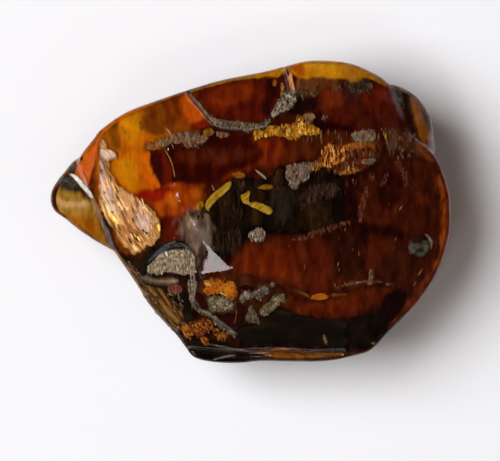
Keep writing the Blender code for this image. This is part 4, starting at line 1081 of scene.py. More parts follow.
inclusions = {
    # gold and orange light held under the back edge
    "backPeachFilm": dict(finish="peach", depth=0.05, thick=0.3, ragged=0.08,
        outlines=["4.95,17.5 5.35,17.8 5.6,16.8 5.7,15.6 5.25,15.3 5,16.2"],
        ribbons=[(0.28, "4.45,18.6 4.6,18 4.9,17.2 5.1,16.4")]),
    "backGoldBits": dict(finish="orangeCrumb", depth=0.15, thick=0.3,
        ovals="3.2,16.5,0.9,0.6,80 4.2,16,1.3,0.5,100 4.1,15.2,0.7,0.4,90"),
    # crumbs and grit of the back cracks
    "gritPatchTop": dict(finish="darkGrit", slot="grit", depth=-0.02, thick=0.7, ragged=0.15,
        lumps=(0.12, 0.4), crumbs=dict(count=225, long=0.77),
        outlines=["2.8,12.1 2.9,13 3.6,14.1 4.2,14.9 4.9,15.5 5.8,15.3 6,14.3 5.7,13.6 4.8,12.9 "
            "3.8,12.3"]),
    "gritSeamTop": dict(finish="darkGrit", slot="grit", depth=0.02, thick=0.5, ragged=0.1,
        crumbs=dict(count=195, wide=0.19, long=0.62),
        outlines=["-5,12.3 -4.6,11.9 -3.4,11.6 -1.6,11.5 0,11.2 1.4,11.3 2.4,11.9 2.6,11.3 1.6,10.6 "
            "0.6,10.4 -0.6,10.1 -1.2,10.5 -3,10.7 -4.4,10.9 -5.2,11.8"]),
    "crackDust": dict(finish="haze", slot="grit", depth=0, thick=0.3, ragged=0.05,
        ribbons=[(0.42, "-7.9,15.2 -7.2,14.5 -6.3,13.4 -5.6,12.5 -5,11.9")]),
    "goldDebrisTop": dict(finish="goldCrumb", slot="gold_debris", depth=0.06, thick=0.7, ragged=0.35,
        lumps=(0.06, 0.5), crumbs=dict(count=110, swing=18, depth=-0.02),
        outlines=["0.4,9.6 0.7,10.4 1.8,10.4 3,10.9 4.6,11 5.4,11.1 6,11.9 6.35,12.2 6.8,11.8 "
            "7.2,11.2 8.2,10.9 9,10.4 8.8,9.9 6.8,9.7 5.4,9.2 4.4,9.5 3,9.7 1.4,9.5 0.8,9.2"]),
    "goldDebrisPeak": dict(finish="goldLeaf", depth=0.02, thick=0.25, ragged=0.1,
        outlines=["6.2,12 6.6,11.7 7,10.8 6.7,9.9 6.2,9.9 6.1,11"],
        ovals="4.9,10.2,1.3,0.7,80 8,10.3,1,0.4,-20"),
    "tanByGold": dict(finish="tanCrumb", depth=0.2, thick=0.3, ragged=0.4,
        outlines=["7,12.3 8.1,12.5 8.2,11.6 7.6,11 7.2,11.5",
            "-4.4,10.2 -3.4,10.2 -2.6,9.8 -3.2,9.4 -4.2,9.7"]),
    "tanDebrisLeft": dict(finish="tanCrumb", slot="tan_debris", depth=0.12, thick=0.6, ragged=0.35,
        lumps=(0.08, 0.4), crumbs=dict(count=70, swing=16, depth=0.02),
        outlines=["-10.2,9.4 -8.6,10.2 -7,9.9 -5.8,9.9 -4.6,10.3 -5.2,9.4 -5.8,9 -6.8,8.5 -8,8.1 "
            "-8.8,8.8 -9.8,8.7"]),
    "tanBandOrange": dict(finish="tanCrumb", depth=0.35, thick=0.3, ragged=0.4,
        crumbFinish="orangeCrumb", crumbs=dict(count=40, long=0.7, swing=16),
        outlines=["-13.4,8.7 -12,9 -10.6,9.5 -10,9.3 -10.2,8.5 -11.6,8.1 -13,8"]),
    "goldBits": dict(finish="goldCrumb", depth=0.05, thick=0.3, ragged=0.1,
        outlines=["-5.9,10.2 -5.2,10.7 -4.6,10.1 -5.1,9.6 -5.8,9.6"],
        ribbons=[(0.3, "-16.5,10.9 -16.2,10.4 -16,10"), (0.18, "-14.2,11.6 -14,11.1 -13.9,10.5")]),
    # painted highlights: pale lines where the edge between the left face and the top catches the light
    "edgeLights": dict(finish="peach", depth=0.04, thick=0.15, ragged=0.03,
        ribbons=[(0.22, "-10.8,10.7 -10.3,10.1 -10,9.4 -10.05,9"),
            (0.12, "-10.9,7.9 -10.3,6.9 -9.9,5.8 -9.6,4.3")]),
    # brown debris to the right of the top
    "greyCluster": dict(finish="tanCrumb", slot="grit", depth=0.1, thick=0.5, ragged=0.45,
        lumps=(0.1, 0.4), crumbFinish="pinkGrit",
        crumbs=dict(count=60, wide=0.23, long=0.72, depth=0.02),
        outlines=["4.6,4.6 4.9,5.7 5.5,6.1 6.9,6.1 8.1,6.4 8.9,6.2 8.3,5.4 7.7,4.9 7.4,4.1 6.6,3.9 "
            "5.9,3.1 5.2,3.3"]),
    "debrisRight": dict(finish="rustCrumb", slot="tan_debris", depth=0.12, thick=0.6, ragged=0.4,
        lumps=(0.06, 0.45), crumbFinish="orangeCrumb", crumbs=dict(count=56, swing=16, depth=0.02),
        outlines=["8,5.4 8.3,6.4 9,7.3 9.8,8.4 10.4,8.6 11,8 12.1,8.2 12.2,7 11.6,6.2 10.4,5.6 "
            "9.2,5.7"]),
    "rustRight": dict(finish="rustCrumb", slot="tan_debris", depth=0.3, thick=0.5, ragged=0.35,
        outlines=["10.9,4.8 11.6,6.2 12.4,7.6 14,8.6 16.2,8.7 16.3,7.6 15.4,6.8 14.4,6.2 15.2,5.8 "
            "14.2,5.1 12.6,4.7"]),
    "tanRight": dict(finish="tanCrumb", slot="tan_debris", depth=0.06, thick=0.4, ragged=0.18,
        crumbFinish="paleGrit", crumbs=dict(count=69, wide=0.19, long=0.62),
        outlines=["13,9.8 13.6,10.2 15.8,10.4 16,9.2 15.2,8.9 14,8.9 13.4,9.2",
            "14.3,6.5 15.4,6.8 16.2,6.5 15.6,6.1 14.6,6"]),
    "oliveArc": dict(finish="orangeCrumb", depth=0.2, thick=0.3, ragged=0.15,
        outlines=["11.3,4.7 12.2,5.4 13.8,5.6 14.5,5.3 13.2,4.9 12,4.6",
            "11.8,8.3 13.6,8.9 16,8.7 16.1,8.2 13.8,8 12.4,7.8"]),
    "rightDust": dict(finish="tanCrumb", depth=0.1, loose=True,
        crumbs=dict(count=54, wide=0.22, swing=16, sink=0.4),
        outlines=["16.3,10.4 18.4,10.5 18.5,9.2 17.4,8.9 16.4,9.4",
            "17.6,10.4 20.6,10.2 21.8,8.6 21.6,7.2 18,7.2"]),
    "rightGold": dict(finish="goldLeaf", depth=0.1, thick=0.2, ragged=0.1,
        ovals="17.4,9.6,0.9,0.3,95"),
    # right corner lobe
    "lobeGreyWedge": dict(finish="noseDark", depth=0.3, thick=0.3, ragged=0.1,
        outlines=["18.4,15.9 19.2,16 19.8,14.9 19.9,13.4 19.4,13.4 18.8,14.8"]),
    # the wood and what lies on it
    "blackWood": dict(finish="blackWood", slot="black_wood", depth=0.9, thick=4.6, ragged=0.35,
        lumps=(0.2, 1.6), edge=0.8, ridges=(0, 0.7, 4, 0.16),
        outlines=["-7.2,-0.6 -6.2,0 -5.4,0.1 -4.6,1 -3.5,2.4 -2.4,3.4 -1.8,4.1 -0.4,4.2 1.6,3.9 "
            "2.8,4.3 3.4,5.2 4.1,5.7 4.5,4.8 4.5,3.8 5.2,3.2 6.4,3.2 7.6,4 8.3,4.9 9.4,5.4 10.6,5.2 "
            "11.2,4.5 12.2,4 11.6,2.6 12.2,1 11.8,-0.6 11.2,-1.2 10.4,-1.7 8.2,-2.4 5.6,-2.6 3.8,-2.2 "
            "2.4,-2.2 0.6,-1.9 -0.4,-2.6 -1,-4.2 -2.2,-5.5 -3.6,-5.3 -4.6,-4.5 -5.6,-3.3 -6.2,-2.5 "
            "-6.8,-1.6"]),
    "brownOnBlack": dict(finish="brownMottle", depth=0.4, thick=0.25, ragged=0.35,
        outlines=["6.6,0.9 6.7,2.2 8,3.2 9.6,3.6 11.2,3.5 11.4,2.4 10.4,1.8 8.8,1.6 8.2,0.6 "
            "7.2,0.3"],
        ovals="7.9,2.3,0.7,0.2,85 7,1.6,0.6,0.18,80 8.6,1.3,0.9,0.2,95 10.5,2.7,0.9,0.4,80 "
            "9.6,2.8,0.6,0.2,80"),
    "goldSliverLeft": dict(finish="goldSliver", slot="gold_fibre", depth=0.03, thick=0.5, ragged=0.08,
        outlines=["-5.8,0.6 -5.4,0 -5.1,0.3 -4.4,1.3 -3.3,2.2 -2.5,3.1 -2.4,3.8 -2.9,3.7 -4,2.9 -5,2 "
            "-5.5,1.4"]),
    "goldSliverRight": dict(finish="goldSliver", slot="gold_fibre", depth=0.03, thick=0.5, ragged=0.08,
        outlines=["-1.2,2 -0.9,1.1 -0.2,0.8 0.8,0.3 2.2,-0.4 2.7,-0.3 2.9,0.2 2,0.8 0.8,1.2 -0.1,1.2 "
            "0,2.4 -0.3,2.6 -0.8,2.2"]),
    "tanSlivers": dict(finish="goldCrumb", depth=0.08, thick=0.25, ragged=0.1,
        outlines=["-7.1,0.3 -6.6,1.2 -6.1,1.3 -5.9,0.7 -6.6,0.1",
            "0.9,3 1.8,3.4 2.8,3.4 2.8,2.9 1.6,2.8"]),
    "tanBySliver": dict(finish="orangeCrumb", depth=0.25, thick=0.25, ragged=0.15,
        outlines=["-2.2,4.9 -1.2,5.1 -0.6,4.6 -1.2,4.2 -2,4.3"]),
    "whiteStreaks": dict(finish="whiteFilmAndGlint", depth=0.03, thick=0.2, ragged=0.04,
        ribbons=[(0.3, "0.7,5.3 1.1,5 1.6,4.6 2.1,4.1"), (0.12, "-4.9,3.4 -4.7,2.9 -4.5,2.6")]),
    "greyGritMiddle": dict(finish="pinkGrit", slot="grit", depth=0, thick=0.4, ragged=0.2,
        crumbFinish="darkGrit", crumbs=dict(count=51, wide=0.21, long=0.65),
        outlines=["-0.2,-2.8 0.4,-2.4 1.6,-2.3 2,-2.9 1.8,-3.7 0.8,-3.9 0,-3.5"]),
    # right body
    # pink streaks; the first three ribbons are painted highlights: a streak of reflection and the arc
    # along the front ridge
    "pinkStreaks": dict(finish="pinkStreak", depth=0.15, loose=True,
        crumbs=dict(count=300, wide=0.16, long=0.65, swing=14, sink=0.2),
        ribbons=[(0.55, "5.4,-3.6 6.8,-3.4 8.4,-2.8 10.4,-2.1 12.2,-1.5 13.1,-1.6"),
            (0.3, "10.9,-9.9 12.6,-9.3 14,-9.1 15.6,-8.9 17,-9.1"),
            (0.25, "17.4,-9.2 18.6,-9.5 19.6,-9.9"), (0.7, "15,3.2 14.6,1.7 14.2,0 14.3,-1.4"),
            (0.7, "18.5,6.5 19.2,6 19.8,4.7 20.3,3.2"), (0.6, "17.7,4.8 17.2,4 16.8,3.1"),
            (0.6, "15.3,4.8 15.7,4.4 15.9,3.9"), (0.5, "13.3,4.1 13.5,3.5")]),
    # the first ribbon is a painted highlight along the front ridge; the second is a thin pale line
    "ledgeArc": dict(finish="haze", depth=0.3, thick=0.15, ragged=0.1,
        ribbons=[(0.26, "11.6,-9.6 12.6,-9.3 14,-9.1 15.6,-8.9 17,-9.1"),
            (0.14, "-1.9,-11.5 -1.75,-13 -2,-14.4")]),
    "specks": dict(finish="peach", depth=0.35, thick=0.15, ragged=0.04,
        ovals="7,-7.2,0.68,0.12,92 13.95,-5.4,0.68,0.14,88 14.9,-5.1,0.45,0.12,85 "
            "11.3,-6.8,0.63,0.12,80 11.45,-7.5,0.45,0.11,95 11.4,-3.4,0.81,0.12,85 "
            "17.8,1,0.63,0.12,85 10.9,-9.4,0.54,0.18,90 19.3,0.4,0.72,0.18,60 21.9,-7.8,0.99,0.21,60 "
            "21.2,-9.3,0.72,0.18,60 5,-4.4,0.45,0.09,90 9.6,-10.4,0.45,0.12,90 12.2,-2.3,0.54,0.12,80 "
            "13.2,-4.9,0.45,0.12,60 18.6,-3.6,0.63,0.18,60"),
    "tanUpright": dict(finish="tanCrumb", depth=0.15, thick=0.2, ragged=0.08,
        outlines=["15.3,-7.3 15.7,-7.6 15.9,-8.6 15.6,-9.4 15,-9.3 15.2,-8.4"],
        ovals="17.7,-9.4,0.6,0.45,0 15.9,-17,0.6,0.5,0 9.7,-16.5,1.4,0.5,100"),
    # front: orange bit, flakes, black layer and ledge
    "goldenBit": dict(finish="hotOrange", depth=0.3, thick=0.3, ragged=0.15,
        outlines=["7.8,-11.2 7.9,-10.8 8.6,-10.6 9.4,-10.5 10.1,-10.7 10,-11 9.2,-11.3"]),
    "goldenBitTail": dict(finish="ledgeGold", depth=0.4, thick=0.2, ragged=0.1,
        ribbons=[(0.4, "5.5,-9.9 6.4,-10.3 7.7,-11"), (0.5, "10.4,-10.8 11.6,-10.6 12.6,-10.6")]),
    "darkLayerFront": dict(finish="charredAndShade", slot="dark_layer", depth=0.3, thick=0.9, ragged=0.15,
        lumps=(0.05, 1.6),
        outlines=["-1.4,-16.2 -1.6,-15 -0.8,-14.6 0.8,-14.5 1.6,-13.6 2.4,-13.4 3.4,-12.5 4.4,-12.5 "
            "6,-13.2 9,-13.7 11.6,-13.9 12.6,-14.4 12.2,-15.6 12.8,-16.6 12,-17.5 10,-17.4 6,-16.9 "
            "2,-16.9 0,-17"]),
    "ledgeStrip": dict(finish="ledgeGold", depth=0.1, thick=0.3, ragged=0.25,
        outlines=["2.2,-17.8 5,-17.8 9,-18.1 12,-18.4 11.4,-18.8 8,-18.7 4.6,-18.3 1.8,-18.1"]),
    "ledgeOrange": dict(finish="hotOrange", depth=0.25, thick=0.2, ragged=0.1,
        outlines=["2.8,-17.7 5,-17.65 6.2,-17.9 5,-18.2 3.2,-18.1",
            "9.8,-18.2 11.4,-18.3 11.2,-18.7 10,-18.6"]),
    "ledgeLines": dict(finish="haze", depth=0.08, thick=0.15, ragged=0.04,
        ribbons=[(0.3, "-5.2,-17.1 -3,-17.6 -0.6,-18 1.6,-18.3"),
            (0.3, "-4.8,-19.2 -3.2,-18.8 -1.8,-18.6")]),
    "blackCorner": dict(finish="charredAndShade", slot="dark_layer", depth=0.3, thick=0.5, ragged=0.2,
        outlines=["-8.2,-16.8 -7.4,-17.8 -6,-18.4 -3,-18.8 3,-18.9 2,-18.5 -1,-18.3 -2.6,-17.4 "
            "-3.4,-16.6 -5,-16.4 -6.6,-16.6"]),
    "orangePatchFront": dict(finish="hotOrange", depth=0.15, thick=0.4, ragged=0.45,
        crumbFinish="orangeCrumb", crumbs=dict(count=90, long=0.9, swing=30, depth=0.03),
        outlines=["-5.9,-9 -5.2,-8.7 -4,-8.7 -3.2,-8.9 -2.2,-9.2 -1.8,-9.8 -1.7,-10.6 -2,-11.2 "
            "-2.6,-11.2 -3.4,-10.6 -4.4,-10.6 -5.4,-10.6 -6,-10.2 -5.7,-9.6"]),
    "orangePatchCore": dict(finish="goldLeaf", depth=0.06, thick=0.2,
        ovals="-5.3,-9.4,1.1,0.6,-20 -3.4,-10.6,1.8,0.35,-25"),
    "gritBlock": dict(finish="grit", slot="grit", depth=0, thick=0.5, ragged=0.15, lumps=(0.1, 0.35),
        crumbs=dict(count=135, wide=0.19, long=0.62),
        outlines=["-5.5,-11.2 -4.8,-10.8 -3.2,-10.9 -2.2,-11.4 -2.1,-12.2 -2.8,-12.9 -4,-12.9 "
            "-5.2,-12.8 -5.4,-12"]),
    "gritFlakeUpper": dict(finish="pinkGrit", slot="grit", depth=0, thick=0.5, ragged=0.15,
        crumbFinish="paleGrit", crumbs=dict(count=90, wide=0.23, long=0.72),
        outlines=["-1.3,-11.2 -1,-10.4 -0.4,-10.2 0.4,-10.4 1.2,-9.8 1.8,-9.6 2.4,-9.8 2.3,-10.4 "
            "1.6,-11 1.2,-11.4 0.4,-11 -0.4,-11.4 -1,-11.7"], ovals="2.9,-9.4,0.7,0.5,20"),
    "gritFlakeMiddle": dict(finish="pinkGrit", slot="grit", depth=0.05, thick=0.4, ragged=0.08,
        crumbFinish="paleGrit", crumbs=dict(count=45, wide=0.17, long=0.55),
        outlines=["-0.6,-14 -0.3,-13 0,-12 0.5,-12.4 0.9,-13.2 1.2,-14 1.2,-14.4 0.2,-14.3"]),
    "gritFlakeLower": dict(finish="grit", slot="grit", depth=0, thick=0.5, ragged=0.15,
        crumbFinish="paleGrit", crumbs=dict(count=105, wide=0.22, long=0.68),
        outlines=["1.2,-12.9 1.8,-12 2.6,-11.6 3,-11 4,-10.6 4.5,-10.9 4.6,-11.6 4,-11.7 3.6,-12.2 "
            "2.8,-12.8 2.2,-13.4 1.4,-13.2"]),
    "frontDark": dict(finish="lensDark", depth=0.5, thick=0.3, ragged=0.2,
        outlines=["-4.8,-13.1 -3.6,-13.2 -2.2,-12.9 -1.6,-11.6 -0.8,-12.4 -1,-14.2 -2.4,-14.8 "
            "-3.8,-14", "-6.9,-10.4 -6,-10.6 -5.7,-11.4 -5.6,-12.4 -6.4,-12.4 -7,-11.4",
            "-1.6,-9.8 -0.6,-9.3 0.4,-9.6 0.2,-10.1 -0.8,-10"]),
    # the gritty hollow and the seam that leaves it
    "gritHollow": dict(finish="grit", slot="grit", depth=-0.12, thick=0.8, ragged=0.15,
        lumps=(0.1, 0.35), crumbs=dict(count=495, wide=0.21, long=0.65),
        outlines=["-13.2,-7.5 -12.4,-6.4 -11.6,-5.6 -10.6,-5.1 -9,-4.9 -8.2,-5 -7.3,-5.5 -7,-6.6 "
            "-7.1,-8 -8.1,-8.1 -9,-8 -10.4,-7.8 -11.8,-8 -12.8,-8"]),
    # painted shadow: the dark upper wall of the hollow
    "hollowWall": dict(finish="charredAndShade", depth=0.02, thick=0.5,
        outlines=["-13.6,-5.7 -12,-4.8 -10.6,-4.1 -9.4,-3.8 -8.7,-3.9 -8.2,-4.8 -9.2,-4.8 -10.8,-5 "
            "-11.8,-5.5 -12.6,-6.3 -13.2,-7.2 -13.8,-6.6"]),
    "hollowStem": dict(finish="grit", slot="grit", depth=-0.04, thick=0.4, ragged=0.06,
        ribbons=[(0.3, "-8.1,-5.7 -7.7,-7.4 -7.5,-9.2 -7.4,-11"),
            (0.25, "-7.2,-7.6 -7.1,-9.4 -7.2,-11.2"), (0.3, "-7.9,-8.6 -7.8,-10 -7.6,-11.4")]),
    "gritSeamFront": dict(finish="grit", slot="grit", depth=0.08, thick=0.4, ragged=0.35,
        lumps=(0.1, 0.3), crumbFinish="darkGrit",
        crumbs=dict(count=180, wide=0.19, long=0.58, depth=-0.02),
        ribbons=[(0.6, "-7.5,-8.4 -7.5,-10.4 -7.4,-11.8 -6.8,-12.6 -5.6,-13.1 -4.8,-13.5 -4,-14.6 "
            "-3,-15.3 -1.8,-16.2")]),
    "darkByStem": dict(finish="charredAndShade", depth=0.25, thick=0.3, ragged=0.2,
        outlines=["-9.9,-10.4 -8.6,-10.4 -7.9,-11.6 -7.7,-12.8 -7.2,-13.4 -7.4,-14.1 -8.7,-14 "
            "-8.4,-12.9 -9.6,-11.8"]),
    "pinkByStem": dict(finish="pinkStreak", depth=0.2, thick=0.2, ragged=0.15,
        outlines=["-10.4,-9.4 -8.9,-9.5 -8.7,-10.3 -9.5,-10.6 -10.5,-10.2"]),
    "bevelFibres": dict(finish="bevelFibre", slot="bark", depth=0.06, thick=0.4, ragged=0.2,
        ridges=(50, 2.4, 0.35, 0.08),
        outlines=["-13.6,-9.6 -12.6,-11.2 -11.2,-13.2 -9.8,-14.8 -9,-14.2 -8.6,-13.6 -8.7,-12.9 "
            "-9.4,-12.6 -10.2,-11.6 -10.9,-10.6 -11.8,-9.9"]),
    "bevelDebris": dict(finish="rustCrumb", slot="bark", depth=0.12, thick=0.4, ragged=0.45,
        lumps=(0.1, 0.4), crumbFinish="orangeCrumb",
        crumbs=dict(count=100, long=1, turn=-55, swing=35, depth=0),
        outlines=["-8.8,-14.5 -8.6,-15.7 -8,-16.4 -7.4,-15.8 -6.6,-16.2 -5.8,-17.1 -5.4,-16.9 "
            "-5.8,-15.9 -5,-15.5 -4.2,-16.3 -3.2,-16.4 -3,-15.8 -4,-15.4 -4.8,-14.6 -5.4,-14 "
            "-6.8,-14.2 -8,-14.4"]),
    "bevelGold": dict(finish="goldCrumb", slot="bark", depth=0.03, thick=0.2, ragged=0.1,
        ovals="-3.6,-16.1,1.2,0.6,-10 -8.4,-15.2,1,0.6,60 -6.1,-16.7,1.3,0.3,-55 "
            "-5.7,-14.6,0.7,0.2,-80 -11.8,-11.6,1.6,0.3,-48 -10.6,-12.6,1.4,0.3,-45"),
    # bark on the left face
    "barkLeft": dict(finish="bark", slot="bark", depth=0.04, thick=1, ragged=0.35, lumps=(0.08, 1.2),
        ridges=(barkTurn, 3.6, 0.4, 0.1),
        outlines=["-19.2,9 -19.3,7 -19.4,5 -19.6,3 -19.4,1 -18.9,-0.3 -18.2,-1.6 -17.2,-2.8 -16.6,-4 "
            "-15.9,-4.9 -15,-5.4 -14,-5 -13,-4.6 -12.2,-4 -11.6,-3 -11.5,-1.6 -12.2,-0.2 -13.2,1 "
            "-14.6,1.9 -16,2.9 -17.2,3.7 -17.9,5 -18.1,6.6 -17,6.9 -17.4,7.7 -18.3,8.2 -18.8,9.4"]),
    "barkGreyBand": dict(finish="barkGrey", slot="bark", depth=-0.02, thick=0.2,
        ridges=(barkTurn, 3, 0.35, 0.06),
        outlines=["-19.1,9.2 -19.4,7.2 -19.5,5 -19.3,3 -18.9,1.2 -18.4,0.4 -17.4,0 -17.6,2 -18.2,4 "
            "-18.8,6 -17.2,7 -17.6,7.8 -18.6,8.2"]),
    "barkFibresTan": dict(finish="bark", slot="bark", depth=0, loose=True,
        crumbs=dict(count=60, long=1.9, turn=-64, swing=11),
        outlines=["-19.2,6 -19.4,2 -18.4,-1 -16.4,-3.6 -13.4,-4.2 -12,-2.6 -12.6,0 -14.6,1.6 "
            "-17.4,3.6 -18.6,6.4"]),
    "barkFibresPale": dict(finish="barkGrey", slot="bark", depth=-0.02, loose=True,
        crumbs=dict(count=80, wide=0.2, long=1.5, turn=-64, swing=12),
        outlines=["-19.2,7.6 -19.4,3 -18.4,0.4 -16.8,-0.4 -17.2,2 -18.2,5",
            "-15.2,0.8 -13.4,0.7 -12.4,-0.8 -12.4,-2.6 -14.2,-2.8 -15.2,-1"]),
    "barkFibresGold": dict(finish="goldLeaf", slot="bark", depth=-0.03, loose=True,
        crumbs=dict(count=26, wide=0.14, long=1.1, turn=-60, swing=14),
        outlines=["-18.4,0.2 -17.2,-1 -14.6,-2.6 -12.4,-3.4 -13.4,-4.6 -15.6,-4.8 -17.2,-2.8"]),
    "barkFibresDark": dict(finish="slit", slot="bark", depth=-0.04, loose=True,
        crumbs=dict(count=22, wide=0.09, long=0.9, turn=-64, swing=12),
        outlines=["-19.2,6 -19.4,2 -18.4,-1 -16.4,-3.6 -13.4,-4.2 -12,-2.6 -12.6,0 -14.6,1.6 "
            "-17.4,3.6 -18.6,6.4"]),
    "woodFibres": dict(finish="fibreVeil", depth=0.2, loose=True,
        crumbs=dict(count=190, wide=0.15, long=1.6, swing=9, sink=0.3),
        outlines=["-3.8,1.8 -2.2,4 -0.8,4 -0.8,1.6 -1.2,-1.4 -1,-3.8 -2,-5.6 -4.2,-5.2 -4.6,-3.4 "
            "-3.6,-1"]),
    "woodFlecks": dict(finish="brownMottle", depth=0.2, loose=True,
        crumbs=dict(count=70, wide=0.2, swing=12, sink=0.3),
        outlines=["6.2,0.4 6.4,2.4 8,3.4 10.4,4 12.6,3.8 11.6,1.8 9,1", "3,3.6 3.4,5 4.2,5 "
            "4.2,3.4"]),
    "backSpecks": dict(finish="pinkGrit", depth=0.1, loose=True,
        crumbs=dict(count=90, wide=0.22, swing=14, sink=0.2),
        outlines=["5.6,15.2 6.6,15.8 8,15.7 8.8,16.6 9.4,16.4 8.8,15 7.8,14.4 6.4,14.3",
            "10.6,15.6 11.4,16.6 12.8,16.8 12.6,15.8", "13,15.4 13.4,16.5 15.4,16.5 15.6,15.5 "
            "14.4,15", "9.2,12.2 10.2,12.2 10.2,11.7 9.2,11.7"]),
    "debrisGlints": dict(finish="goldCrumb", depth=0.04, loose=True,
        crumbs=dict(count=50, wide=0.2, swing=20, sink=0.2),
        outlines=["8,5.4 9,7.3 10,8.4 12,8.2 12.2,7 10.4,5.6", "11.4,4.8 12.4,5.6 14.4,5.5 13,4.7"]),
    "debrisShadows": dict(finish="slit", depth=0.05, loose=True,
        crumbs=dict(count=60, wide=0.16, swing=16, sink=0.2),
        outlines=["8,5.4 9,7.3 10,8.4 12.4,8.4 16,8.6 16.2,7.4 14.4,5.8 11,4.8",
            "4.8,4 5,5.8 7.8,6.2 7.6,4.4 6.4,3.4"]),
    "bevelCrumbs": dict(finish="bevelFibre", slot="bark", depth=0.04, loose=True,
        crumbs=dict(count=100, wide=0.28, long=0.9, turn=-52, sink=0.2),
        outlines=["-14.4,-9.6 -12.6,-9.8 -10.6,-10.8 -9,-12.6 -8.6,-14.4 -9.6,-15.8 -12.4,-12.9"]),
    "bevelDust": dict(finish="tanCrumb", slot="bark", depth=0.03, loose=True,
        crumbs=dict(count=120, wide=0.2, long=0.7, turn=-55, swing=30, sink=0.2),
        outlines=["-16.6,-6.6 -14.6,-7 -13.6,-9.4 -10.6,-10.6 -9.2,-10.2 -8.6,-12 -8.8,-14.6 "
            "-9.8,-15.8 -12.6,-13 -15,-10"]),
    "bevelShadows": dict(finish="slit", slot="bark", depth=0.02, loose=True,
        crumbs=dict(count=90, wide=0.16, long=0.7, turn=-55, swing=30, sink=0.2),
        outlines=["-15.6,-7 -13.6,-9.4 -10.6,-10.6 -9.2,-10.2 -8.6,-12 -8.8,-14.6 -9.8,-15.8 "
            "-12.6,-13 -15,-10", "-8.6,-14.4 -8,-16.2 -5.6,-16.8 -3.2,-16.4 -4.6,-14.4 -6.6,-14"]),
    # painted reflection: pale upright streaks of sheen over the left shoulder
    "hazeStreaks": dict(finish="haze", depth=0.1, loose=True,
        crumbs=dict(count=60, wide=0.1, long=1.3, swing=10, sink=0.5),
        outlines=["-7.9,-0.2 -6.3,0.2 -5,-1.2 -5.2,-3.2 -6.4,-6.4 -7.4,-6 -8.2,-3.4 -8.7,-1.6"]),
    "debrisFibres": dict(finish="tanCrumb", depth=0.06, loose=True,
        crumbs=dict(count=90, wide=0.16, long=0.9, swing=14, sink=0.2),
        outlines=["8.2,5.6 9,7 10.2,8.4 12.4,8.4 15.8,8.6 16.2,7.6 14.6,6.2 12,4.8 9.6,5.4",
            "-10.4,9.2 -8,10.2 -5.6,10 -5.6,9 -7.8,8 -10.6,8.4",
            "4.6,9.6 8.6,10.2 12.6,10 12,8.6 7,9"]),
    "barkGold": dict(finish="goldLeaf", slot="bark", depth=-0.04, thick=0.2, ragged=0.05,
        outlines=["-18.4,0.1 -18.1,-0.9 -17.4,-1.5 -16.9,-1.7 -17.1,-1 -17.8,-0.3"],
        ovals="-11.7,-2.1,1.2,0.4,100 -14.3,-3.6,0.9,0.35,-60 -13.9,-1.9,0.7,0.2,-65 "
            "-17,3.1,1.1,0.2,-62"),
    "barkKnob": dict(finish="barkGrey", slot="bark", depth=-0.03, thick=0.2, ragged=0.25,
        ridges=(barkTurn, 1.6, 0.3, 0.08), ovals="-13.7,-1.4,2.9,1.9,-62"),
    "barkRings": dict(finish="bark", slot="bark", depth=-0.08, thick=0.15, ragged=0.08,
        ribbons=[(0.3, "-14.6,0.2 -14,0.5 -13.2,0.2 -12.6,-0.6"),
            (0.25, "-15,-0.9 -15,-1.8 -14.4,-2.6")]),
    "barkSlits": dict(finish="slit", slot="bark", depth=-0.06, thick=0.2, ragged=0.03,
        ribbons=[(0.16, "-18.1,4.7 -17.95,4.2 -17.85,3.6"), (0.14, "-17.6,3.4 -17.2,2.8 -17,2.3"),
            (0.18, "-17,0.8 -16.6,0.2 -16.3,-0.6"), (0.2, "-15.7,-3.4 -15.4,-3.9 -15.1,-4.4"),
            (0.2, "-14.8,-3.2 -14.5,-3.7 -14.3,-4"), (0.3, "-15.1,-0.8 -14.9,-1.6"),
            (0.3, "-13.9,-2.1 -13.6,-2.6 -13,-2.9"), (0.16, "-14.6,-0.4 -14.5,-1.2 -14.1,-1.9"),
            (0.14, "-13.4,-0.3 -12.9,-1.1 -12.7,-1.9"), (0.25, "-17.9,0.1 -17.6,-0.2"),
            (0.1, "-18.8,6.2 -18.7,4.6 -18.7,3 -18.9,1.4")]),
    # the nose
    "noseVein": dict(finish="noseDark", depth=0.15, thick=0.4, ragged=0.15,
        outlines=["-24.8,4.1 -24,4.8 -23.2,4.6 -22.4,3.8 -21.6,3.2 -22.4,2.7 -23.4,2.8 -24.4,3.2",
            "-23.8,5.4 -22.7,6.5 -22.4,6.2 -22.7,5.2 -23.3,4.9"]),
    # painted highlight: the white-grey streak along the lip of the nose's crease
    "noseStreak": dict(finish="whiteFilmAndGlint", depth=-0.03, thick=0.2, ragged=0.04,
        ribbons=[(0.66, "-23.4,4.9 -22.6,4.4 -21.8,3.5 -21,2.6 -20.3,1.7")]),
    # a soft brown line along the crease between the nose and the lump
    "creaseDust": dict(finish="brownMottle", depth=0.05, thick=0.25, ragged=0.08,
        ribbons=[(0.55, "-18.9,-0.8 -18.5,-2.2 -18,-3.8 -17.4,-5")]),
    # the pit: grey floor, painted shadow on the upper left of its wall, and painted highlights on
    # its rims and on the lit right side of its wall
    "pitFloor": dict(finish="pitFloor", slot="grit", depth=0.02, thick=0.3, ragged=0.1,
        outlines=["20.9,-4.9 21.2,-4.3 21.9,-4 22.4,-3.6 22.9,-3.7 23.1,-4.5 22.8,-5.4 22,-5.9 "
            "21.2,-5.7"]),
    "pitShadow": dict(finish="slit", depth=0, thick=0.15, ragged=0.08,
        outlines=["20.8,-4.8 20.9,-3.9 21.5,-3.2 22.3,-3 22.5,-3.5 22,-4.1 21.3,-4.3 21,-5"]),
    # painted highlights: thin pink crescents on the pit's rims
    "pitRims": dict(finish="pinkStreak", depth=0.02, thick=0.15, ragged=0.05,
        ribbons=[(0.18, "20.4,-5 20.4,-4.2 20.8,-3.5"), (0.16, "23.9,-4.9 24,-4.2 23.8,-3.6")]),
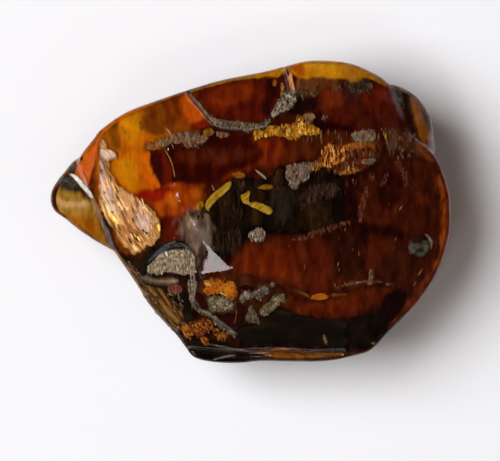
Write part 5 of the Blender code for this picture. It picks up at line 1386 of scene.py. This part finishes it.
    # painted light: the pale right side of the pit's wall, lit from the left
    "pitPale": dict(finish="pinkGrit", depth=0, thick=0.15, ragged=0.08,
        outlines=["22.4,-2.9 23.1,-3.1 23.6,-3.8 23.6,-4.7 23.2,-4.8 23.1,-4 22.8,-3.5"]),
    # painted highlight: a white glint in the hollow
    "hollowSpark": dict(finish="whiteFilmAndGlint", depth=-0.35, thick=0.12, ragged=0.02,
        ovals="-10.75,-5.5,0.8,0.34,-75"),
}
print("inclusions")
for number, (pieceName, spec) in enumerate(inclusions.items()):
    inclusion(pieceName, spec, 3 + 7 * number)


# Floor, light and camera

stage = {
    "mmPerPixel": 0.13, "imageWidth": 500, "imageHeight": 461,
    "originPixel": (250.0, 211.5),     # where X = 0 and Y = 0 fall in the photograph
    "outlineHeight": 10.0,             # mm, the level at which the lump is widest
    "cameraHeight": 700.0, "sensor": 36.0, "floorColour": "#e6e6e9",
    # walls pale low down, dark overhead where the camera is held
    "room": [(0.0, "#bcbdc2"), (0.04, "#bcbdc2"), (0.1, "#35322f"), (0.35, "#35322f"),
             (0.57, "#2a2828")],
}
# where each light is seen from the lump, its distance and size in metres, power and colour
lights = {
    "window": ((-0.55, 0.11, 0.83), 1.6, 1.12, 35.5, (0.99, 0.995, 1.0)),
    "fill": ((0.5, -0.2, 0.84), 1.2, 1.2, 2.0, (1.0, 0.82, 0.7)),
    "paleCard": ((-0.2, -0.4, 0.894), 0.8, 0.15, 0.5, (1.0, 0.97, 0.95)),
}


def buildFloor():
    # matt white paper; its fibres are finer, drawn coarse enough to show
    shape = bmesh.new()
    bmesh.ops.create_grid(shape, x_segments=1, y_segments=1, size=2.0)
    finish, tree = newFinish("whitePaper")
    coords = addNode(tree, "ShaderNodeTexCoord")
    fibres = addNode(tree, "ShaderNodeTexNoise", {"Scale": perMm(1.5), "Detail": 3.0},
                     {"Vector": coords.outputs["Object"]})
    raised = addNode(tree, "ShaderNodeBump", {"Strength": 0.05, "Distance": 0.05 * mm},
                     {"Height": fibres.outputs[0]})
    shader = addNode(tree, "ShaderNodeBsdfPrincipled", {
        "Base Color": hexLinear(stage["floorColour"]), "Roughness": 0.8},
        {"Normal": raised.outputs[0]})
    addNode(tree, "ShaderNodeOutputMaterial", links={"Surface": shader.outputs[0]})
    floor = meshObject("floor", shape, finish)
    floor.location.z = -0.02 * mm


def buildLight():
    world = bpy.data.worlds.new("dimRoom")
    world.use_nodes = True
    tree = world.node_tree
    tree.nodes.clear()
    coords = addNode(tree, "ShaderNodeTexCoord")
    parts = addNode(tree, "ShaderNodeSeparateXYZ", links={0: coords.outputs["Generated"]})
    walls = addNode(tree, "ShaderNodeValToRGB", links={0: parts.outputs[2]}, stops=stage["room"])
    dim = addNode(tree, "ShaderNodeBackground", {"Strength": 1.0}, {"Color": walls.outputs[0]})
    addNode(tree, "ShaderNodeOutputWorld", links={"Surface": dim.outputs[0]})
    bpy.context.scene.world = world
    for name, (direction, far, size, power, colour) in lights.items():
        light = bpy.data.lights.new(name, "AREA")
        light.shape = "SQUARE"
        light.size, light.energy, light.color = size, power, colour
        lamp = inScene(bpy.data.objects.new(name, light))
        lamp.location = Vector(direction).normalized() * far
        lamp.rotation_euler = lamp.location.to_track_quat("Z", "Y").to_euler()
        # the fill lifts the shadow, and isn't mirrored in the polish
        lamp.visible_glossy = name != "fill"


def buildCamera():
    pixel, (ox, oy) = stage["mmPerPixel"], stage["originPixel"]
    optics = bpy.data.cameras.new("camera")
    optics.sensor_width = stage["sensor"]
    optics.lens = (stage["sensor"] * (stage["cameraHeight"] - stage["outlineHeight"])
                   / (stage["imageWidth"] * pixel))
    optics.clip_start, optics.clip_end = 0.01, 5.0
    camera = inScene(bpy.data.objects.new("camera", optics))
    camera.location = Vector(((stage["imageWidth"] / 2 - ox) * pixel,
                              (oy - stage["imageHeight"] / 2) * pixel,
                              stage["cameraHeight"])) * mm
    bpy.context.scene.camera = camera
    bpy.context.scene.view_settings.view_transform = "Standard"


print("stage")
buildFloor()
buildLight()
buildCamera()
